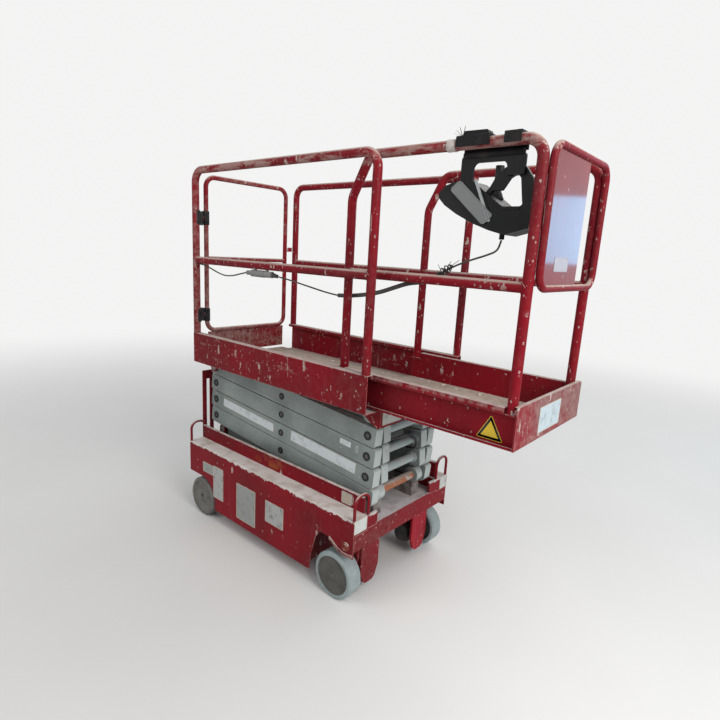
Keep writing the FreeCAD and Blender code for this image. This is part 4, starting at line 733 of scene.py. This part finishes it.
band_white = label_finish("band_white", (0.52, 0.56, 0.58), 0.25)
for name, level, start, end, rise, tall, finishes in (
    ("front", 2, 0.08, 0.535, 0.014, 0.056, (beige_rim, band_white)),
    ("rear", 2, -0.52, -0.06, 0.004, 0.048, (beige_rim, band_white)),
    ("high", 3, 0.427, 0.5, 0.017, 0.03, (grey_face, band_white)),
    ("tag", 3, 0.529, 0.545, 0.012, 0.032, (white_face, grey_face)),
):
    run = (start + end) / 2
    place = (CHASSIS_X + run * math.cos(ARM_SLOPE), -ARM_FACE,
             STACK_LOW + LEVEL_STEP * level - run * math.sin(ARM_SLOPE) + rise)
    blank_plate("arm_strip_" + name, "outer_%d" % level, end - start, tall, place, finishes,
                rim=0.002, slope=ARM_SLOPE, corner=0.003)


# Lift cylinder rod: hard chrome with a film of oil and dust.
# It shows between the first and second levels.

chrome = Finish("chrome_rod", roughness=0.16, metallic=1.0)
rod_film = chrome.noise(40, 3, stretch=(0.2, 1, 1))
chrome.colour(chrome.blend(rod_film.rise(0.55, 0.8) * 0.5, (0.7, 0.71, 0.73), (0.3, 0.27, 0.23)))
chrome.set("Roughness", rod_film * 0.3 + 0.08)
dress(chrome, "lift_rod")


# Platform: a thin deck between folded toe-board sills, crimson under thrown plaster.
# The deck is covered in trodden dust and crumbs; the sills' tops are rubbed pale.

SILL_TOP = 1.098


def deck_litter(paint, fine, cloud):
    """Trodden dust on the deck, with bare patches where feet have rubbed."""
    on_deck = paint.face_z.rise(0.6, 0.9)
    return on_deck * (fine * 0.45 + paint.noise(4, 4, 0.6) * 0.55).rise(0.36, 0.5) * 0.94


def rubbed_sill(paint, fine, cloud):
    """A pale, uneven line along the sills' tops."""
    crest = paint.z + paint.noise(33, 3, 0.6) * 0.012
    return crest.rise(SILL_TOP + 0.002, SILL_TOP + 0.008) * 0.75


deck_paint = crimson_paint("deck_paint", film=0.4, lying=0.9, flecks=0.8, smears=0.5,
                           extra=deck_litter, powder=(0.41, 0.355, 0.3))
sill_paint = crimson_paint("sill_paint", film=0.14, lying=0.7, flecks=0.55, smears=0.6, worn=0.7,
                           extra=rubbed_sill)
dress(deck_paint, "platform_deck", "slide_deck")
broken_edges("platform_sill_right", "platform", sill_paint)
broken_edges("platform_sill_left", "platform", sill_paint)


# Slide-out tray: folded channels and a front plate round a thin deck that runs over the platform's.
# Painted as the platform is, and pale along its lips with dust and a painted highlight line. Blank plates on
# its front and below.

TRAY_LIP = 0.309


def tray_dust_and_lip_highlight(paint, fine, cloud):
    """The tray's top lips, its bottom flange and its front plate are filmed with pale dust; the pale line on
    the top lips is also a painted highlight.
    """
    drips = paint.noise(38, 4, 0.65, stretch=(1, 1, 0.35))
    # Wavy pale line along the top lips: plaster dust plus a painted highlight of the rounded edge.
    lip = (paint.z + drips * 0.022).rise(1.101, 1.108) * paint.y.abs().rise(TRAY_LIP - 0.004, TRAY_LIP)
    front = paint.face_x.rise(0.8, 0.95) * (fine * 0.5 + cloud * 0.5).rise(0.35, 0.65)
    outer = paint.y.abs().rise(TRAY_LIP - 0.009, TRAY_LIP) * paint.z.rise(1.07, 1.08) * fine.rise(0.35, 0.6)
    return (lip * 0.8).highest(front * 0.34).highest(outer * 0.3)


tray_paint = crimson_paint("tray_paint", film=0.06, lying=0.75, flecks=0.2, smears=0.3, worn=0.8,
                           extra=tray_dust_and_lip_highlight)
broken_edges("slide_frame", "slide_out", tray_paint)
blank_plate("tab_plate", "platform", 0.135, 0.072, (0.6845 + CHASSIS_X, -0.1875, 0.894),
            (beige_rim, white_face), facing="front", rim=0.003)
blue_grey_face = label_finish("blue_grey_face", (0.42, 0.5, 0.54), 0.35)
blank_plate("fascia_plate", "slide_out", 0.21, 0.103, (1.3092 + CHASSIS_X, -0.015, 1.0155),
            (beige_rim, blue_grey_face), facing="front", rim=0.003)


# Plain yellow triangle on the tray's near channel, with a black band inside its rim.
# Cut from thin sheet, corners rounded.

TRIANGLE_REACH = 0.062
TRIANGLE_RIM = 0.002
TRIANGLE_BAND = 0.009
TRIANGLE_MIDDLE = (1.2 + CHASSIS_X, -0.2875, 0.984)

yellow = label_finish("warning_yellow", (0.62, 0.43, 0.02), 0.12)
band_black = label_finish("band_black", (0.012, 0.012, 0.012), 0)
triangle = begin(bpy.ops.mesh.primitive_cylinder_add, "plain_triangle", vertices=3,
                 radius=TRIANGLE_REACH, depth=PLATE_THICK)
with editing():
    round_corners(triangle, 0.008)
    for wide, slot in ((TRIANGLE_RIM, 1), (TRIANGLE_BAND, 0)):
        bpy.ops.mesh.inset(thickness=wide)
        finish_picked(triangle, slot)
hang(triangle, TRIANGLE_MIDDLE)
fit(triangle, "slide_out", "grey_plastic", yellow, band_black)


# Crumbs of plaster on both decks: flat flakes, broken and trodden.
# The ones under the sliding tray are thin enough to pass below it.

DECK_TOP = 0.948
TRAY_TOP = 0.958

crumb_white = Finish("crumb_white", roughness=0.9)
chalk = crumb_white.noise(90, 3, 0.6)
crumb_white.colour(crumb_white.blend(chalk.rise(0.3, 0.7), PLASTER, PALE_DUST))
crumb_white.relief(chalk, 0.0006)
scatter = random.Random(11)

for name, body, deck, rear, front, half, count, widest, tallest in (
    ("deck_crumbs", "platform", DECK_TOP, -0.86, 0.12, 0.25, 70, 0.012, 0.0035),
    ("tray_crumbs", "slide_out", TRAY_TOP, 0.16, 0.97, 0.26, 90, 0.018, 0.009),
):
    whole = begin(bpy.ops.mesh.primitive_ico_sphere_add, "flake", subdivisions=1, radius=1)
    with editing():
        pick(whole, "FACE", lambda face: face.normal.z < -0.7)
        bpy.ops.mesh.inset(thickness=0.15)
    flakes = [whole]
    for _ in range(count):
        size = 0.004 + widest * scatter.random() ** 3
        height = min(tallest, size * scatter.uniform(0.3, 0.7))
        across = scatter.choice((-1, 1)) * half * (1 - scatter.random() ** 2)
        flake = bpy.data.objects.new("flake", whole.data.copy())
        bpy.context.scene.collection.objects.link(flake)
        for vert in flake.data.vertices:
            wobble = scatter.uniform(0.7, 1.15)
            vert.co = (vert.co.x * wobble, vert.co.y * wobble, vert.co.z)
        flake.data.transform(
            Matrix.Translation((scatter.uniform(rear, front), across, deck + height * 0.42))
            @ Matrix.Rotation(scatter.uniform(0, 6), 4, "Z")
            @ Matrix.Diagonal((size, size * scatter.uniform(0.4, 1), height / 2, 1)))
        flakes.append(flake)
    whole.data.transform(Matrix.Translation((front, 0, deck + 0.001)) @ Matrix.Scale(0.003, 4))
    fit(joined(flakes, name), body, "grey_plastic", crumb_white)


# Guard rails and gate: welded round tube in crimson, specked all over with plaster.
# Small chips show rusty steel, and the gate is the dullest.

TOP_RAILS = 1.968


def dusted_rails(paint, fine, cloud):
    """The top rails are coated all round, in long rubbed streaks; the rear posts are filmed."""
    streak = paint.noise(22, 5, 0.7, stretch=(0.3, 1, 1))
    near = paint.y.rise(-0.22, -0.26)
    high = paint.z.rise(TOP_RAILS - 0.05, TOP_RAILS - 0.02)
    coated = high * streak.rise(0.62 - 0.19 * near, 0.8 - 0.21 * near) * (near * 0.06 + 0.46)
    rear = paint.x.rise(-0.86, -0.9) * paint.y.rise(-0.32, -0.35) * fine.rise(0.35, 0.6) * 0.2
    return coated.highest(rear)


rail_paint = crimson_paint("rail_paint", film=0.14, lying=0.85, flecks=0.6, smears=0.9, chips=0.6,
                           extra=dusted_rails, powder=(0.44, 0.35, 0.31))
dress(rail_paint, "main_rail_right", "main_rail_left", "slide_rail_right", "slide_rail_left", "guard_loop")
gate_paint = crimson_paint("gate_paint", film=1.1, lying=0.85, flecks=0.4, smears=0.6, chips=0.6,
                           powder=(0.44, 0.35, 0.31))
dress(gate_paint, "gate")


# Weld beads: where each middle rail's end is coped round its post.
# Rippled steel under the same crimson.

RAIL_RADIUS = 0.019
PLATFORM_POSTS = 0.361
SLIDE_POSTS = 0.284


def coped_bead(post_x, across, height, toward):
    """A bead along the saddle line in which two equal tubes meet."""
    bead = begin(bpy.ops.mesh.primitive_torus_add, "bead", major_radius=RAIL_RADIUS, minor_radius=0.003,
                 major_segments=56, minor_segments=8, rotation=(0, math.radians(90), 0))
    for number, vert in enumerate(bead.data.vertices):
        round_tube = math.hypot(vert.co.y, vert.co.z)
        ripple = 1 + 0.03 * math.sin(number // 8 * 2.2)
        saddle = math.sqrt(max(0, RAIL_RADIUS ** 2 - (vert.co.y * RAIL_RADIUS / round_tube) ** 2))
        vert.co = (post_x + (saddle + vert.co.x * ripple) * toward, across + vert.co.y * ripple,
                   height + vert.co.z * ripple)
    if toward < 0:
        bead.data.flip_normals()
    bpy.ops.object.shade_smooth()
    return bead


for name, body, across, height, rear, front in (
    ("platform_welds", "platform", PLATFORM_POSTS, 1.502, -0.9105, 0.3505),
    ("slide_welds", "slide_out", SLIDE_POSTS, 1.504, 0.1585, 0.9595),
):
    beads = [coped_bead(post, across * sign, height, toward)
             for post, toward in ((rear, 1), (front, -1)) for sign in (-1, 1)]
    fit(joined(beads, name), body, "red_paint", rail_paint)


# Gate hinges: black moulded knuckles clamped on the rear post and on the gate's own tube, with
# two bolts in each leaf. The gate's barrel turns with it.

hinge_black = matt_plastic("hinge_black", (0.006, 0.006, 0.007), dust=0.05, roughness=0.5)
hinge_black.set("Specular IOR Level", 0.2)
HINGE_HEIGHTS = (1.196, 1.729)
HINGE_AXIS = (-0.9135, -0.329)
LEAF_TALL = 0.074
BARREL_RADIUS = 0.0138


def rounded_block(name, sizes, middle):
    """A block with all its edges rounded."""
    block = begin(bpy.ops.mesh.primitive_cube_add, name, size=1, scale=sizes, location=middle)
    with editing(everything=True):
        bpy.ops.mesh.bevel(offset=0.003, segments=3, affect="EDGES")
    return block


for name, body, along, deep, across, wide in (
    ("post", "platform", -0.8965, 0.017, -0.35625, 0.0205),
    ("gate", "entry_gate", HINGE_AXIS[0], 0.029, -0.2985, 0.03),
):
    leaves = []
    for height in HINGE_HEIGHTS:
        leaf = rounded_block("leaf", (deep, wide, LEAF_TALL), (along, across, height))
        step_faces(leaf, lambda face: face.normal.x > 0.99, (0.003, (-0.0015, 0, 0)), smooth=35)
        leaves.append(leaf)
        for lift in (-0.02, 0.02):
            head = begin(bpy.ops.mesh.primitive_cylinder_add, "head", vertices=6, radius=0.006,
                         depth=0.006, location=(along + deep / 2, across, height + lift),
                         rotation=(0, math.radians(90), 0))
            step_faces(head, lambda face: face.normal.x > 0.9, (0.0015, (0.001, 0, 0)))
            leaves.append(head)
        if body == "entry_gate":
            barrel = begin(bpy.ops.mesh.primitive_cylinder_add, "barrel", vertices=28,
                           radius=BARREL_RADIUS, depth=0.062, location=(*HINGE_AXIS, height))
            step_faces(barrel, lambda face: face.normal.z > 0.9, (0.002, (0, 0, 0.00186)))
            step_faces(barrel, lambda face: face.normal.z < -0.9, (0.002, (0, 0, -0.00186)), smooth=35)
            leaves.append(barrel)
    fit(joined(leaves, "hinge_leaves_" + name), body, "black_steel", hinge_black)


# Guard sheet: a flat painted sheet in the front loop, glossier than the rest.
# It mirrors the pale room. A faded blank label is stuck low on its front.

guard_paint = crimson_paint("guard_paint", film=0.12, lying=0.2, flecks=0.01, smears=0, chips=0.1,
                            shine=0.3, coat=1.1)
guard_paint.set("Coat Roughness", 0.08)
broken_edges("guard_sheet", "slide_out", guard_paint)
faded_rim = label_finish("faded_rim", (0.31, 0.27, 0.31), 0.2)
faded_face = label_finish("faded_face", (0.34, 0.33, 0.37), 0.3)
blank_plate("faded_label", "slide_out", 0.13, 0.05, (1.3038 + CHASSIS_X, -0.095, 1.585),
            (faded_rim, faded_face), facing="front", rim=0.003)


# Control station: a dark moulded housing that hangs from the rail by a steel saddle.
# A steel neck joins the two. A sloping grey band on its side, a stick on a soft boot, a red stop button, and
# the in-line connector's grey shell are moulded plastic too.
# A pale grey strip beside the band is a painted highlight on the glossy housing.

housing_plastic = matt_plastic("housing_plastic", (0.005, 0.0055, 0.006), dust=0.02, roughness=0.42)
housing_plastic.set("Specular IOR Level", 0.16)
dress(housing_plastic, "control_housing")
dress(matt_plastic("grip_plastic", (0.008, 0.008, 0.008), dust=0.06, roughness=0.5), "joystick")
dress(matt_plastic("button_plastic", (0.42, 0.012, 0.012), dust=0.1, roughness=0.3), "stop_button")
saddle_steel = dark_steel("saddle_steel", (0.008, 0.008, 0.009), dust=0.16)
saddle_steel.set("Specular IOR Level", 0.15)
dress(saddle_steel, "control_hook")
band_plastic = matt_plastic("band_plastic", (0.13, 0.14, 0.143), dust=0.2, roughness=0.35)
dress(matt_plastic("connector_plastic", (0.17, 0.175, 0.17), dust=0.3), "connector")

STATION_X = 1.060 + CHASSIS_X
STATION_TOP = 1.860
STATION_FACE = -0.258
NECK_SIZES = (0.228, 0.016, 0.021)
NECK_MIDDLE = (STATION_X + 0.0225, STATION_FACE + 0.006, STATION_TOP + 0.0805)
BAND = ((-0.133, -0.03), (-0.094, 0.002), (0.049, -0.122), (0.012, -0.155))
HIGHLIGHT_TRIM = ((-0.038, 0.0), (-0.028, 0.003), (0.04, -0.14), (0.03, -0.144))


def raised_strip(name, corners, finish, thick, corner):
    """A strip with round ends that stands proud of the housing's near face."""
    strip = begin(bpy.ops.mesh.primitive_plane_add, name, size=2)
    for vert, (along, up_by) in zip(strip.data.vertices, (corners[0], corners[3], corners[1], corners[2])):
        vert.co = (STATION_X + along, STATION_FACE - 0.0002, STATION_TOP + up_by)
    with editing(everything=True):
        push((0, -thick, 0))
        bpy.ops.mesh.select_all(action="SELECT")
        bpy.ops.mesh.normals_make_consistent(inside=False)
        pick(strip, "EDGE", lambda edge: abs(edge.verts[0].co.y - edge.verts[1].co.y) > thick / 2)
        bpy.ops.mesh.bevel(offset=corner, segments=5, affect="EDGES")
    step_faces(strip, lambda face: face.normal.y < -0.9, (corner / 5, (0, thick / 4, 0)), smooth=30)
    return fit(strip, "slide_out", "station_black", finish)


neck = rounded_block("saddle_neck", NECK_SIZES, NECK_MIDDLE)
step_faces(neck, lambda face: face.normal.z < -0.99, (0.003, (0, 0, -0.004)), smooth=35)
fit(neck, "slide_out", "station_black", saddle_steel)

band = raised_strip("side_band", BAND, band_plastic, 0.005, 0.012)
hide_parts("control_cover")
# Pale grey strip on the housing's near face: a painted highlight, not a part.
trim_highlight_grey = matt_plastic("trim_highlight_grey", (0.3, 0.32, 0.33), dust=0.2, roughness=0.3)
raised_strip("highlight_trim", HIGHLIGHT_TRIM, trim_highlight_grey, 0.004, 0.004)


# Plaster on the near slide-out rail, beside the saddle: a lump that set round the tube.
# White, rough, with ragged ends.

LUMP_LONG = 0.034
LUMP_MIDDLE = (0.626, -SLIDE_POSTS, 1.974)

lump = begin(bpy.ops.mesh.primitive_cylinder_add, "plaster_lump", vertices=32, radius=RAIL_RADIUS + 0.0015,
             depth=LUMP_LONG, location=LUMP_MIDDLE, rotation=(0, math.radians(90), 0))
with editing():
    pick(lump, "FACE", lambda face: abs(face.normal.x) > 0.9)
    bpy.ops.mesh.inset(thickness=0.0012)
    bpy.ops.mesh.delete(type="FACE")
    bpy.ops.mesh.select_all(action="SELECT")
    bpy.ops.mesh.subdivide(number_cuts=2)
    bpy.ops.transform.vertex_random(offset=0.0022, seed=5)
crust_wall = lump.modifiers.new("crust_wall", "SOLIDIFY")
crust_wall.thickness, crust_wall.offset = 0.0006, 1
bpy.ops.object.modifier_apply(modifier=crust_wall.name)
bpy.ops.object.shade_smooth()
fit(lump, "slide_out", "grey_plastic", crumb_white)


# Cable ties: black nylon bands round the lead below the station, and cut tails over the saddle.
# Thin moulded strip, pulled tight.

TIE_LOOPS = ((0.59, 1.518, 0.011, 15), (0.5975, 1.524, 0.014, 45), (0.605, 1.529, 0.012, 70),
             (0.612, 1.534, 0.016, 30), (0.62, 1.54, 0.013, 60), (0.628, 1.546, 0.015, 40),
             (0.637, 1.552, 0.011, 20), (0.645, 1.558, 0.009, 65))
TIE_TAILS = (((0.665, -0.3, 2.0), -0.022, 0.02, 0.0024), ((0.668, -0.3, 2.0), -0.012, 0.028, 0.0024),
             ((0.673, -0.3, 2.0), 0.004, 0.03, 0.0024), ((0.662, -0.3, 1.999), -0.03, 0.012, 0.0024),
             ((0.598, -0.258, 1.524), 0.079, 0.056, 0.0042), ((0.61, -0.262, 1.53), -0.02, 0.03, 0.003),
             ((0.632, -0.262, 1.548), 0.012, 0.026, 0.003), ((0.6, -0.262, 1.52), -0.026, -0.006, 0.003))

tie_nylon = matt_plastic("tie_nylon", (0.006, 0.006, 0.006), dust=0.03, roughness=0.45)
ties = []
for along, up_by, swell, lean in TIE_LOOPS:
    loop = begin(bpy.ops.mesh.primitive_torus_add, "loop", major_radius=swell, minor_radius=0.0022,
                 major_segments=28, minor_segments=8, location=(along, -0.253, up_by),
                 rotation=(0, math.radians(90 - lean), 0))
    with editing(everything=True):
        bpy.ops.transform.vertex_random(offset=0.0006, seed=int(along * 1000))
    bpy.ops.object.shade_smooth()
    ties.append(loop)
for root, lean, reach, broad in TIE_TAILS:
    tail = begin(bpy.ops.mesh.primitive_cube_add, "tail", size=1, scale=(broad, 0.0012, 0.002), location=root)
    with editing():
        pick(tail, "FACE", lambda face: face.normal.z * reach > 0)
        for share in (0.4, 0.35, 0.25):
            push((lean * share, 0.002 * share, reach * share))
            bpy.ops.transform.resize(value=(0.85, 1, 1))
    ties.append(tail)
fit(joined(ties, "cable_ties"), "slide_out", "cable_black", tie_nylon)


# Leads and hose: black sheathed cable, held along the rails by ties, and a thicker conduit.
# A moulded boot with ribs joins the in-line connector to the front lead.

sheath = matt_plastic("cable_sheath", (0.014, 0.014, 0.014), dust=0.15, roughness=0.45)
dress(sheath, "harness_rear", "harness_front", "conduit", "control_cable", "hydraulic_hose")

BOOT_FROM = Vector((-0.2592, -0.361, 1.463))
BOOT_TO = Vector((-0.2400, -0.3395, 1.4562))
BOOT_RADIUS = 0.0125
BOOT_RINGS = ((1, 0.12), (0.8, 0.14), (1.12, 0.16), (0.75, 0.14), (1.12, 0.16), (0.7, 0.28))

boot = begin(bpy.ops.mesh.primitive_cylinder_add, "connector_boot", vertices=24, radius=BOOT_RADIUS,
             depth=0.001)
span = BOOT_TO - BOOT_FROM
with editing():
    pick(boot, "FACE", lambda face: face.normal.z > 0.9)
    for taper, share in BOOT_RINGS:
        push((0, 0, span.length * share))
        bpy.ops.transform.resize(value=(taper, taper, 1))
boot.data.transform(Matrix.Translation(BOOT_FROM) @ span.to_track_quat("Z", "Y").to_matrix().to_4x4())
bpy.ops.object.shade_smooth_by_angle(angle=math.radians(60))
fit(boot, "platform", "cable_black", sheath)
